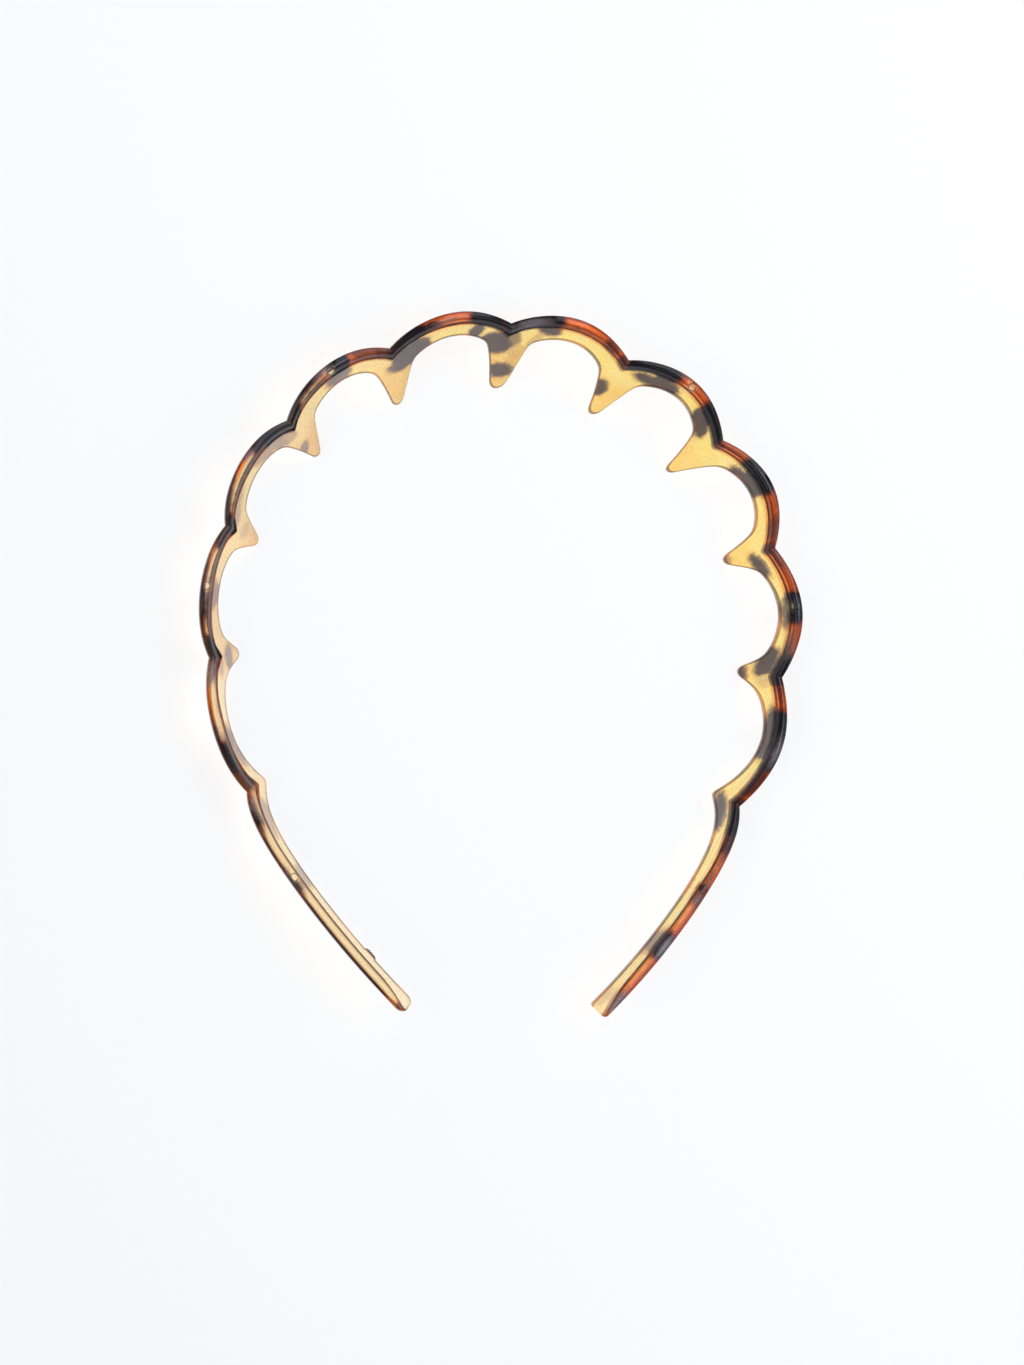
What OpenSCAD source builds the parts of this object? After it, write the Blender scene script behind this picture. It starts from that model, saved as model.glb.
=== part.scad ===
// Scalloped headband with inward teeth, lying on its side as it rests on a table.
//
// One moulding: a rounded rim follows ten outward scallops, a thinner web slopes down inside it,
// a tooth stands on the web at each notch between scallops, and two smooth legs close the hoop.
//
// The outline is worked out along a smooth hoop line, from the middle of the top down one side.
// s is the distance along that line. u is the distance square to it, positive towards the inside.
// The front of the web is a dished sheet that falls inwards, and rises a little towards the crown
// of each scallop. All sizes are in millimetres.

/* [Hoop] */

// Radius of the hoop line over the scallops
hoop_r = 63; // [60:0.1:66]

// Length of the hoop line with that radius, each side of the middle
hoop_run = 130.5; // [120:0.5:135]

// Radius of the hoop line along the legs
leg_r = 188; // [150:1:250]

// Length of the hoop line from the middle to the end of a leg
leg_end = 188.5; // [175:0.5:200]

// How far the leg ends turn up from the plane of the hoop
leg_lift = 10.5; // [0:0.5:12]

// How far the crown of a scallop stands above its notches
wave = 2; // [0:0.1:2.5]

/* [Section] */

// Width of the rim at the crown of a scallop
rim_w = 2.5; // [2:0.1:3]

// Width of the rim along the mitre at a notch
mitre_w = 2.15; // [1.7:0.05:2.5]

// Height of the rim's rounded top above the sheet of the web
rim_rise = 0.8; // [0.4:0.05:1.2]

// Height of the outer wall's top edge above that sheet
rim_edge = 0.1; // [0:0.05:0.4]

// Depth of the outer wall below that sheet
rim_depth = 1.2; // [0.8:0.05:2]

// Thickness of the web and teeth
web_t = 1.5; // [1.2:0.05:2]

// Slope of the sheet at the hoop line, as fall over run
slope = 0.36; // [0.25:0.01:0.6]

// How much that slope grows for each two millimetres inwards
dish = 0.036; // [0.01:0.001:0.04]

/* [Teeth and legs] */

// Softness of the fillets between the teeth and the web
fillet = 1.2; // [0.6:0.1:2]

// How far the leg's outer edge runs outside the hoop line
leg_out = 1.5; // [0.5:0.1:2.5]

// Width of the web along a leg
leg_web = 1.3; // [1:0.05:2]

// Extra width of that web just below the last notch
leg_swell = 5; // [3:0.1:6]

// Distance over which the leg takes its own line below that notch
leg_fade = 4.8; // [2:0.1:6]

// Length over which the rim narrows towards the end of a leg
leg_taper = 9; // [5:0.5:14]

// Length of the rounding at the end of a leg
end_round = 1.5; // [1:0.1:2.5]

/* [Outline tables] */

// Notches from the middle of the top to the leg: place on the hoop line, and depth inside it
NOTCHES = [
    // at,    depth
    [  0.0,   0.15 ],
    [ 26.3,   1.1  ],
    [ 52.9,   1.4  ],
    [ 78.4,   2.0  ],
    [106.3,   2.4  ],
    [135.3,   1.4  ]
]; // at rising from 0, depth [0:0.05:3]

// Teeth at all but the last of those notches: reach of the tip inside the hoop line, lean of the
// tip along it, steepness of the sides, radius of the tip
TEETH = [
    // reach, lean, steepness, tip
    [ 12.7,   0.0,  3.15,      2.3  ],
    [ 12.6,   0.1,  2.50,      1.75 ],
    [ 12.1,  -1.6,  2.05,      1.45 ],
    [ 10.8,  -0.15, 1.75,      1.75 ],
    [  9.8,  -0.45, 1.35,      1.9  ]
]; // reach [8:0.1:14], lean [-2:0.05:2], steepness [1:0.05:4], tip [1:0.05:2.5]

// Scallops between those notches: bulge of the outer edge beyond its chord, width of the web at
// the crown, radius of the web's inner edge
SCALLOPS = [
    // bulge, web,  inner radius
    [ 4.50,   2.15, 13.5 ],
    [ 4.85,   2.00, 12.2 ],
    [ 4.45,   1.90, 13.9 ],
    [ 4.15,   1.75, 16.4 ],
    [ 3.85,   1.50, 17.9 ]
]; // bulge [3:0.05:6], web [1:0.05:3], inner radius [11:0.1:20]

/* [Hidden] */

// Columns of the three tables
AT = 0;
DEPTH = 1;
REACH = 0;
LEAN = 1;
STEEP = 2;
TIP = 3;
BULGE = 0;
WEB = 1;
INNER_R = 2;

LEG = len(SCALLOPS);      // index of the leg, after the scallops
SPAN_STEPS = 14;          // stations in each half of a scallop
LEG_STEPS = 30;           // stations along a leg
END_STEPS = 5;            // stations in the rounding at its end
GRADE = 1.6;              // how closely the stations crowd towards a notch
SHOULDERS = [0.28, 0.66]; // edges of the rim's flat top, as shares of its width
FRONT_STEP = 2.6;         // spacing of the lines of points across the front of a tooth
FRONT_LINES = 3;
BACK_STEP = 3.5;          // the same across its back
BACK_LINES = 2;
SQUEEZE = 0.06;           // spacing of those lines at the edge, as a share of the web's width
TAPER_END = 0.35;         // share of the rim's width left at the end of a leg
END_WIDTH = 0.4;          // share of the leg's width left at its very end
TURN_START = 1.6;         // steepness of the leg's turn at its start, against its mean
TURN_SOFT = 0.04;         // share of the leg over which that turn sets in
LEAN_PASSES = 3;          // rounds that settle the lean of a tooth
MITRE_POWER = 6;          // how fast the rim of a leg reaches its full width
TORTOISESHELL = [0.62, 0.38, 0.16];

// Angle turned by the hoop line at s, in degrees, clockwise from +X
function turned(s) = (min(s, hoop_run)/hoop_r + max(s - hoop_run, 0)/leg_r)*180/PI;
function outward(s) = [sin(turned(s)), cos(turned(s))];
function line_point(s) =
    hoop_r*outward(min(s, hoop_run)) + leg_r*(outward(max(s, hoop_run)) - outward(hoop_run));

// Point of the hoop's plane at s and u
function plan(s, u) = line_point(s) - u*outward(s);

// Span that holds s, where that span ends, and the share of it that s has passed
function span_at(s) = max([for (i = [0:LEG]) s >= NOTCHES[i][AT] ? i : 0]);
function span_end(i) = i < LEG ? NOTCHES[i + 1][AT] : leg_end;
function share_at(s) = let (i = span_at(s), a = NOTCHES[i][AT]) (s - a)/(span_end(i) - a);

// Height of the sheet at s and u: the dish, the wave of the scallops, the turn of the legs
function crest(s) = span_at(s) < LEG ? (1 - cos(360*share_at(s)))/2 : 0;
function turn_up(s) =
    let (t = span_at(s) < LEG ? 0 : share_at(s), soft = sqrt(t*t + TURN_SOFT*TURN_SOFT) - TURN_SOFT)
    leg_lift*soft*(TURN_START - (TURN_START - 1)*soft);
function sheet(s, u) = -slope*u - dish*u*u + wave*crest(s) + turn_up(s);

// Circle through p and q that bulges by b to the left of the way from p to q: centre, radius, axis
function bulged(p, q, b) =
    let (c = norm(q - p), r = (c*c/4 + b*b)/(2*b), axis = [p.y - q.y, q.x - p.x]/c)
    [(p + q)/2 + axis*(b - r), r, axis];

// u where the line square to the hoop line at s meets a circle
function edge_on(s, circle) =
    let (v = outward(s), d = line_point(s) - circle[0], b = d*v)
    b - sqrt(max(0, b*b - d*d + circle[1]*circle[1]));

// Circle of each scallop's outer edge, and of its web's inner edge
function notch_point(i) = plan(NOTCHES[i][AT], NOTCHES[i][DEPTH]);
OUTER = [for (i = [0:LEG - 1]) bulged(notch_point(i), notch_point(i + 1), SCALLOPS[i][BULGE])];
INNER = [for (i = [0:LEG - 1]) let (c = OUTER[i], r = SCALLOPS[i][INNER_R])
    [c[0] + c[2]*(c[1] - rim_w - SCALLOPS[i][WEB] - r), r]];

// How much of the last notch's effect on the leg is left at s
function fading(s) = exp((NOTCHES[LEG][AT] - s)/leg_fade);

// Outer edge at s: the scallop's circle, or the leg's line
function outer_edge(s) =
    let (i = span_at(s))
    i < LEG ? edge_on(s, OUTER[i]) : -leg_out + (NOTCHES[LEG][DEPTH] + leg_out)*fading(s);

// Width of the rim along u at s: narrow at a notch, and at the end of a leg
function rim_across(s) =
    let (t = share_at(s), swell = span_at(s) < LEG ? crest(s) : 1 - pow(1 - t, MITRE_POWER),
         left = max(0, 1 - (leg_end - s)/leg_taper))
    (mitre_w + (rim_w - mitre_w)*swell)*(1 - (1 - TAPER_END)*left*left);

// The larger or the smaller of a and b, with the corner between them rounded
function soft_max(a, b) = (a + b + sqrt((a - b)*(a - b) + fillet*fillet))/2;
function soft_min(a, b) = -soft_max(-a, -b);

// Inner edge of the web at s without teeth: its own line, cornered by the nearer neighbour's
function web_on(s, i) =
    i < LEG ? edge_on(s, INNER[i]) : -leg_out + rim_w + leg_web + leg_swell*fading(s);
function web_edge(s) =
    let (i = span_at(s), j = share_at(s) < 0.5 ? max(i - 1, 0) : min(i + 1, LEG))
    i == j ? web_on(s, i) : soft_min(web_on(s, i), web_on(s, j));

// Profile of a tooth without lean: a round tip and straight sides
function tooth_at(d, row) =
    let (m = row[STEEP], q = sqrt(1 + m*m), r = row[TIP], x = abs(d), side = r*m/q)
    row[REACH] - r + (x < side ? sqrt(r*r - x*x) : r/q - m*(x - side));

// The same with its lean: each depth is shifted along the hoop in proportion
function leaning(d, row, passes) =
    passes == 0 ? tooth_at(d, row)
        : let (u = min(max(leaning(d, row, passes - 1), 0), row[REACH]))
          tooth_at(d - row[LEAN]*u/row[REACH], row);

// Inner edge of the web and teeth at s
function inner_edge(s, u, i) =
    i == len(TEETH) ? u
        : inner_edge(s, soft_max(u, leaning(s - NOTCHES[i][AT], TEETH[i], LEAN_PASSES)), i + 1);

// Narrowing that rounds the end of a leg, as a share of the leg's width
function end_share(s) =
    let (t = max(0, (s - leg_end + end_round)/end_round)) max(END_WIDTH, sqrt(max(0, 1 - t*t)));

// Lines of points across a web of width w: evenly spaced from the rim, squeezed at the edge
function lines_across(w, step, n) = [for (k = [1:n]) min(k*step, w*(1 - (n + 1 - k)*SQUEEZE))];

// Section at s, once round: [u, height] from the back of the outer wall over the front to the back
function section(s) =
    let (outer = outer_edge(s), w = rim_across(s), foot = outer + w,
         inner = inner_edge(s, web_edge(s), 0), web = inner - foot,
         front = lines_across(web, FRONT_STEP, FRONT_LINES),
         back = lines_across(web, BACK_STEP, BACK_LINES),
         mid = (outer + inner)/2, f = end_share(s),
         ring = concat(
             [[outer, -rim_depth], [outer, rim_edge]],
             [for (q = SHOULDERS) [outer + q*w, rim_rise]],
             [[foot, 0]],
             [for (x = front) [foot + x, 0]],
             [[inner, 0], [inner, -web_t]],
             [for (k = [BACK_LINES - 1:-1:0]) [foot + back[k], -web_t]],
             [[foot, -web_t]]))
    [for (p = ring) let (u = mid + (p[0] - mid)*f) [u, sheet(s, u) + p[1]]];

// Stations down one side, crowded at the notches, where the outline turns fastest
HALF_STATIONS = concat(
    [for (i = [0:LEG - 1], k = [0:2*SPAN_STEPS - 1])
        let (a = NOTCHES[i][AT], b = NOTCHES[i + 1][AT], t = k/SPAN_STEPS)
        t <= 1 ? a + (b - a)/2*pow(t, GRADE) : b - (b - a)/2*pow(2 - t, GRADE)],
    [for (k = [0:LEG_STEPS]) let (a = NOTCHES[LEG][AT], b = leg_end - end_round)
        a + (b - a)*pow(k/LEG_STEPS, GRADE)],
    [for (k = [1:END_STEPS]) leg_end - end_round + end_round*sin(k*90/END_STEPS)]);
STATIONS = concat([for (k = [len(HALF_STATIONS) - 1:-1:1]) -HALF_STATIONS[k]], HALF_STATIONS);

// The moulding before it is set down, one ring of points for each station
function ring_points(s) =
    let (a = abs(s)) [for (p = section(a)) let (q = plan(a, p[0])) [s < 0 ? -q.x : q.x, q.y, p[1]]];
FLAT_RINGS = [for (s = STATIONS) ring_points(s)];

// Tilt at which the last pair of teeth and one of the others stand on the table together
function tip(i) =
    let (s = NOTCHES[i][AT] + TEETH[i][LEAN], u = TEETH[i][REACH])
    [plan(s, u).y, sheet(NOTCHES[i][AT], u)];
TIPS = [for (i = [0:LEG - 1]) tip(i)];
rest_tilt = max([for (i = [0:LEG - 2])
    atan2(TIPS[LEG - 1][1] - TIPS[i][1], TIPS[i][0] - TIPS[LEG - 1][0])]);
function tilted(p) =
    [p.x, p.y*cos(rest_tilt) - p.z*sin(rest_tilt), p.y*sin(rest_tilt) + p.z*cos(rest_tilt)];
TILTED = [for (ring = FLAT_RINGS, p = ring) tilted(p)];

// Origin: under the middle of the hoop's box, on the table
y_mid = (min([for (p = TILTED) p.y]) + max([for (p = TILTED) p.y]))/2;
z_low = min([for (p = TILTED) p.z]);
POINTS = [for (p = TILTED) p - [0, y_mid, z_low]];

RING = len(FLAT_RINGS[0]);
LAST = len(STATIONS) - 1;

// Skin between neighbouring rings, then a cap on each leg's end
FACES = concat(
    [for (j = [0:LAST - 1], k = [0:RING - 1]) let (n = (k + 1)%RING, a = j*RING, b = a + RING)
        each [[a + k, b + n, a + n], [a + k, b + k, b + n]]],
    [[for (k = [0:RING - 1]) k], [for (k = [RING - 1:-1:0]) LAST*RING + k]]);

module headband() {
    color(TORTOISESHELL) polyhedron(points = POINTS, faces = FACES, convexity = 12);
}

headband();
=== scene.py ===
"""Scalloped headband with inward teeth: one moulding of mottled amber plastic, lying on a table.

The shape follows the same hoop line as the part's source. s is the distance along that line from
the middle of the top, negative down the left side, and u the distance square to it, positive
towards the inside. Sizes of the moulding are in millimetres, and its mesh is in metres.
"""

import logging
import math
from dataclasses import dataclass, field
from enum import Enum
from typing import Union

import bpy
import numpy as np
from mathutils import Matrix, Vector
from numpy.typing import NDArray


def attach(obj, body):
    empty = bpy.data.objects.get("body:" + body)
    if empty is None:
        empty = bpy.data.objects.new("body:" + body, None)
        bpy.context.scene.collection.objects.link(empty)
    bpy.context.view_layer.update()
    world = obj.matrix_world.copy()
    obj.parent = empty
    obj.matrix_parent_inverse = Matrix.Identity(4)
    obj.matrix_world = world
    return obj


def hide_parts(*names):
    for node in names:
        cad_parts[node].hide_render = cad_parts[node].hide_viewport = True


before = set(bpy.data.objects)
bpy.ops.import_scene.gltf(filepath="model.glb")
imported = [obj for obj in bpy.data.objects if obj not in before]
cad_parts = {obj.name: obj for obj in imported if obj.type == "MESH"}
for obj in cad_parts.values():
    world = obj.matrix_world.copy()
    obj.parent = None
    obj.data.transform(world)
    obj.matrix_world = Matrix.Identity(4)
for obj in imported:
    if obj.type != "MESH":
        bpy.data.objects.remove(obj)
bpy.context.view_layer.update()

Array = NDArray[np.float64]
Colour = tuple[float, float, float]
Socket = bpy.types.NodeSocket
Value = Union[Socket, Colour, float]

log = logging.getLogger("headband")

MM = 0.001
NODE = "headband"
BODY = "root"
PIECE = "headband_moulding"
PICTURE_LONG_SIDE = 1365

# Distance inside the nearest blotch, in millimetres, where none is near
NO_BLOTCH = -3.0

BROWN: Colour = (0.2, 0.035, 0.012)
COOL_WHITE: Colour = (0.95, 0.97, 1.0)

# Inputs and output of Blender's mix node that carry colours
MIX_FIRST = 6
MIX_SECOND = 7
MIX_RESULT = 2

# Place at which a colour ramp's new stop is made, before it gets its own
NEW_STOP = 0.5


class Side(Enum):
    """Side of the hoop, as the sign of s and of x."""

    LEFT = -1.0
    RIGHT = 1.0


class Layer(Enum):
    """Layer of the mottling, by the name under which the mesh keeps it."""

    WEB_DARK = "web_dark"
    WEB_LINES = "web_lines"
    RIM_DARK = "rim_dark"
    RIM_LINES = "rim_lines"
    RIM_PALE = "rim_pale"
    RIM_PAINTED_SHEEN = "rim_painted_sheen"

    @property
    def reach(self) -> str:
        """Name of the field with the distance inside the layer's patches."""
        return f"{self.value}_reach"

    @property
    def depth(self) -> str:
        """Name of the field with the depth of colour of those patches."""
        return f"{self.value}_depth"

    @property
    def front_only(self) -> bool:
        """Whether the layer lies on the front alone, and the others go through to the back."""
        return self in (Layer.WEB_LINES, Layer.RIM_LINES)


def smooth_step(low: float, high: float, value: Array) -> Array:
    """Ease from 0 to 1.

    Args:
        low: value at which the step starts.
        high: value at which it is complete.
        value: where it is read.

    Returns:
        The step's height at each value.
    """
    share = np.clip((value - low) / (high - low), 0.0, 1.0)
    return share * share * (3.0 - 2.0 * share)


def soft_max(a: Array, b: Array, softness: float) -> Array:
    """Larger of two values, with the corner between them rounded to a softness."""
    return (a + b + np.sqrt((a - b) ** 2 + softness**2)) / 2.0


def soft_min(a: Array, b: Array, softness: float) -> Array:
    """Smaller of two values, with the corner between them rounded to a softness."""
    return -soft_max(-a, -b, softness)


# Outline of the hoop


@dataclass(frozen=True)
class Notch:
    """Notch between two scallops: place on the hoop line, and depth inside it."""

    at: float
    depth: float


@dataclass(frozen=True)
class Tooth:
    """Tooth at a notch: reach of its tip, lean along the hoop, steepness, tip radius."""

    reach: float
    lean: float
    steepness: float
    tip: float

    def upright_edge(self, distance: Array) -> Array:
        """Edge of the tooth as if it didn't lean.

        Args:
            distance: distance along the hoop line from the tooth's middle.

        Returns:
            u of its round tip and straight flanks.
        """
        length = math.sqrt(1.0 + self.steepness**2)
        side = self.tip * self.steepness / length
        x = np.abs(distance)
        round_tip = np.sqrt(np.maximum(0.0, self.tip**2 - x * x))
        flank = self.tip / length - self.steepness * (x - side)
        return self.reach - self.tip + np.where(x < side, round_tip, flank)

    def edge(self, distance: Array, passes: int) -> Array:
        """Edge of the leaning tooth.

        Args:
            distance: distance along the hoop line from the tooth's notch.
            passes: how often the lean is worked out again from the edge it gives.

        Returns:
            u of the edge.
        """
        u = self.upright_edge(distance)
        for _ in range(passes):
            lean = self.lean * np.clip(u, 0.0, self.reach) / self.reach
            u = self.upright_edge(distance - lean)
        return u


@dataclass(frozen=True)
class Scallop:
    """Scallop: bulge beyond its chord, width of its web, radius of the web's inner edge."""

    bulge: float
    web: float
    inner_radius: float


@dataclass(frozen=True)
class Arc:
    """Circle in the hoop's plane, with the direction in which it bulges."""

    centre: Array
    radius: float
    axis: Array

    @classmethod
    def bulged(cls, start: Array, end: Array, bulge: float) -> "Arc":
        """Circle through two points that bulges to the left of the way between them.

        Args:
            start: first point.
            end: second point.
            bulge: height of the arc above its chord.

        Returns:
            The circle.
        """
        chord = float(np.hypot(*(end - start)))
        radius = (chord * chord / 4.0 + bulge * bulge) / (2.0 * bulge)
        axis = np.array([start[1] - end[1], end[0] - start[0]]) / chord
        return cls((start + end) / 2.0 + axis * (bulge - radius), radius, axis)

    def inside(self, gap: float, radius: float) -> "Arc":
        """Circle of a given radius inside this one, with a gap between their crowns."""
        return Arc(self.centre + self.axis * (self.radius - gap - radius), radius, self.axis)


@dataclass(frozen=True)
class HoopLine:
    """Smooth line under the scallops and legs: a circle, then a wider one."""

    hoop_radius: float = 63.0
    hoop_run: float = 130.5
    leg_radius: float = 188.0
    end: float = 188.5

    def outward(self, s: Array) -> Array:
        """Unit vector pointing out of the hoop, on its right side.

        Args:
            s: distance along the line.

        Returns:
            The vector at each distance.
        """
        on_hoop = np.minimum(s, self.hoop_run) / self.hoop_radius
        on_leg = np.maximum(s - self.hoop_run, 0.0) / self.leg_radius
        turn = on_hoop + on_leg
        return np.stack([np.sin(turn), np.cos(turn)], axis=-1)

    def point(self, s: Array) -> Array:
        """Point of the line, on its right side.

        Args:
            s: distance along the line.

        Returns:
            The point at each distance.
        """
        hoop = self.hoop_radius * self.outward(np.minimum(s, self.hoop_run))
        start = self.outward(np.full_like(s, self.hoop_run))
        leg = self.leg_radius * (self.outward(np.maximum(s, self.hoop_run)) - start)
        return hoop + leg

    def plan(self, s: Array, u: Array) -> Array:
        """Point of the hoop's plane at s and u, on the right side."""
        return self.point(s) - np.asarray(u)[..., None] * self.outward(s)


@dataclass(frozen=True)
class Outline:
    """Edges of the moulding and height of its web, the same on both sides.

    Its methods take s as a distance from the top, without the sign of the side.
    """

    line: HoopLine = field(default_factory=HoopLine)
    notches: tuple[Notch, ...] = (
        Notch(0.0, 0.15),
        Notch(26.3, 1.1),
        Notch(52.9, 1.4),
        Notch(78.4, 2.0),
        Notch(106.3, 2.4),
        Notch(135.3, 1.4),
    )
    teeth: tuple[Tooth, ...] = (
        Tooth(12.7, 0.0, 3.15, 2.3),
        Tooth(12.6, 0.1, 2.5, 1.75),
        Tooth(12.1, -1.6, 2.05, 1.45),
        Tooth(10.8, -0.15, 1.75, 1.75),
        Tooth(9.8, -0.45, 1.35, 1.9),
    )
    scallops: tuple[Scallop, ...] = (
        Scallop(4.5, 2.15, 13.5),
        Scallop(4.85, 2.0, 12.2),
        Scallop(4.45, 1.9, 13.9),
        Scallop(4.15, 1.75, 16.4),
        Scallop(3.85, 1.5, 17.9),
    )
    rim_width: float = 2.5
    mitre_width: float = 2.15
    mitre_power: float = 6.0
    fillet: float = 1.2
    leg_out: float = 1.5
    leg_web: float = 1.3
    leg_swell: float = 5.0
    leg_fade: float = 4.8
    leg_taper: float = 9.0
    taper_end: float = 0.35
    lean_passes: int = 3
    slope: float = 0.36
    dish: float = 0.036
    wave: float = 2.0
    leg_lift: float = 10.5
    turn_start: float = 1.6
    turn_soft: float = 0.04

    @property
    def leg(self) -> int:
        """Index of the leg, after the scallops."""
        return len(self.scallops)

    def span(self, s: Array) -> Array:
        """Index of the scallop or leg that holds s."""
        starts = [notch.at for notch in self.notches]
        return np.clip(np.searchsorted(starts, s, side="right") - 1, 0, self.leg)

    def share(self, s: Array) -> Array:
        """Share that is passed of a scallop or leg.

        Args:
            s: distance along the hoop line.

        Returns:
            0 at the start of the scallop or leg that holds s, and 1 at its end.
        """
        ends = np.array([notch.at for notch in self.notches] + [self.line.end])
        index = self.span(s)
        return (s - ends[index]) / (ends[index + 1] - ends[index])

    def on_leg(self, s: Array) -> Array:
        """Whether s lies on the leg."""
        return self.span(s) == self.leg

    def crest(self, s: Array) -> Array:
        """Wave that is 1 at the crown of a scallop and 0 at its notches."""
        return np.where(self.on_leg(s), 0.0, (1.0 - np.cos(2.0 * np.pi * self.share(s))) / 2.0)

    def height(self, s: Array, u: Array) -> Array:
        """Height of the web's front over the hoop's plane.

        Args:
            s: distance along the hoop line.
            u: distance inside it.

        Returns:
            The dish, the wave of the scallops and the turn of the legs together.
        """
        passed = np.where(self.on_leg(s), self.share(s), 0.0)
        soft = np.sqrt(passed * passed + self.turn_soft**2) - self.turn_soft
        turn_up = self.leg_lift * soft * (self.turn_start - (self.turn_start - 1.0) * soft)
        return -self.slope * u - self.dish * u * u + self.wave * self.crest(s) + turn_up

    def outer_arcs(self) -> list[Arc]:
        """Circles of the outer edge.

        Returns:
            One circle for each scallop.
        """
        points = [self.line.plan(np.array(n.at), np.array(n.depth)) for n in self.notches]
        return [
            Arc.bulged(points[i], points[i + 1], scallop.bulge)
            for i, scallop in enumerate(self.scallops)
        ]

    def inner_arcs(self) -> list[Arc]:
        """Circle of the inner edge of each scallop's web."""
        pairs = zip(self.outer_arcs(), self.scallops)
        return [arc.inside(self.rim_width + own.web, own.inner_radius) for arc, own in pairs]

    def edge_on(self, s: Array, arc: Arc) -> Array:
        """Where the lines square to the hoop line meet a circle.

        Args:
            s: distance along the hoop line.
            arc: the circle.

        Returns:
            u of the meeting point on each line.
        """
        outward = self.line.outward(s)
        gap = self.line.point(s) - arc.centre
        along = np.sum(gap * outward, axis=-1)
        square = along * along - np.sum(gap * gap, axis=-1) + arc.radius**2
        return along - np.sqrt(np.maximum(0.0, square))

    def fading(self, s: Array) -> Array:
        """How much of the last notch's effect is left on the leg at s, 1 at the notch."""
        return np.exp((self.notches[-1].at - s) / self.leg_fade)

    def outer_edge(self, s: Array) -> Array:
        """Outer wall of the moulding.

        Args:
            s: distance along the hoop line.

        Returns:
            u of the wall.
        """
        notch_depth = self.notches[-1].depth + self.leg_out
        lines = [self.edge_on(s, arc) for arc in self.outer_arcs()]
        lines.append(-self.leg_out + notch_depth * self.fading(s))
        return np.take_along_axis(np.stack(lines), self.span(s)[None], 0)[0]

    def rim_across(self, s: Array) -> Array:
        """Width of the rim.

        Args:
            s: distance along the hoop line.

        Returns:
            The width, which narrows at a notch and at the end of a leg.
        """
        start = 1.0 - (1.0 - np.clip(self.share(s), 0.0, 1.0)) ** self.mitre_power
        swell = np.where(self.on_leg(s), start, self.crest(s))
        left = np.maximum(0.0, 1.0 - (self.line.end - s) / self.leg_taper)
        full = self.mitre_width + (self.rim_width - self.mitre_width) * swell
        return full * (1.0 - (1.0 - self.taper_end) * left * left)

    def web_edge(self, s: Array) -> Array:
        """Inner edge of the web, without the teeth.

        Args:
            s: distance along the hoop line.

        Returns:
            u of the edge.
        """
        leg_line = -self.leg_out + self.rim_width + self.leg_web
        lines = [self.edge_on(s, arc) for arc in self.inner_arcs()]
        lines.append(leg_line + self.leg_swell * self.fading(s))
        own = self.span(s)
        before = np.maximum(own - 1, 0)
        after = np.minimum(own + 1, self.leg)
        near = np.where(self.share(s) < 0.5, before, after)
        table = np.stack(lines)
        own_line = np.take_along_axis(table, own[None], 0)[0]
        near_line = np.take_along_axis(table, near[None], 0)[0]
        return np.where(own == near, own_line, soft_min(own_line, near_line, self.fillet))

    def inner_edge(self, s: Array) -> Array:
        """Inner edge of web and teeth.

        Args:
            s: distance along the hoop line.

        Returns:
            u of the edge.
        """
        u = self.web_edge(s)
        for notch, tooth in zip(self.notches, self.teeth):
            u = soft_max(u, tooth.edge(s - notch.at, self.lean_passes), self.fillet)
        return u


@dataclass(frozen=True)
class Resting:
    """How the hoop is set down: tilted onto its lowest teeth, its box over the origin."""

    tilt_degrees: float = 3.70917
    middle_y: float = -6.235
    lowest_z: float = -8.99509

    def rotation(self) -> Matrix:
        """Turn from the hoop's plane to the table."""
        return Matrix.Rotation(math.radians(self.tilt_degrees), 3, "X")

    def place(self, points: Array) -> Array:
        """Points in metres on the table, from points in millimetres in the hoop's own axes."""
        turned = points @ np.array(self.rotation()).T
        return (turned - np.array([0.0, self.middle_y, self.lowest_z])) * MM


# Marks left by the mould


@dataclass(frozen=True)
class PinMark:
    """Round mark that an ejector pin leaves on the rim.

    Its painted light, a cream pool where light comes through the mark, starts at a given offset
    inside its middle, and clear_back is how far the dark colour behind it clears.
    """

    at: float
    u: float
    painted_light: float = 0.0
    painted_light_from: float = 0.0
    clear_back: float = 1.0
    radius: float = 0.92
    depth: float = 0.07
    soft: float = 0.34
    painted_light_edge: tuple[float, float] = (-0.2, 0.15)

    def inside(self, s: Array, u: Array, wider: Array | float = 0.0) -> Array:
        """1 within the mark, made wider by a distance, and 0 outside it."""
        distance = np.hypot(s - self.at, u - self.u) - wider
        return 1.0 - smooth_step(self.radius - self.soft, self.radius, distance)

    def painted_light_share(self, s: Array, u: Array, behind: Array, clearing: float) -> Array:
        """Share of painted light, in cream, that the mark lets through.

        Args:
            s: signed distance along the hoop line.
            u: distance inside it.
            behind: whether the point lies on the back.
            clearing: how much further the clear patch on the back reaches than the mark.

        Returns:
            The share, 0 away from the mark.
        """
        front = smooth_step(*self.painted_light_edge, u - self.u - self.painted_light_from)
        part = np.where(behind, self.clear_back, front)
        return self.painted_light * part * self.inside(s, u, np.where(behind, clearing, 0.0))


@dataclass(frozen=True)
class GateStub:
    """Small ragged stub on the inner edge, where the moulding was broken from its runner."""

    at: float = -175.7
    half_length: float = 1.5
    proud: float = 0.5
    shoulder_power: int = 4
    ragged: float = 0.12
    ripples: tuple[float, float] = (9.0, 23.0)

    def bulge(self, s: Array) -> Array:
        """How far the stub stands out.

        Args:
            s: signed distance along the hoop line.

        Returns:
            The distance, 0 away from the stub.
        """
        share = np.clip(np.abs(s - self.at) / self.half_length, 0.0, 1.0)
        rough = np.ones_like(s)
        for ripple in self.ripples:
            rough = rough + self.ragged * np.sin(ripple * s)
        return self.proud * np.sqrt(1.0 - share**self.shoulder_power) * rough * (share < 1.0)


# Mottling, by its places along and across the hoop line


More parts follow.
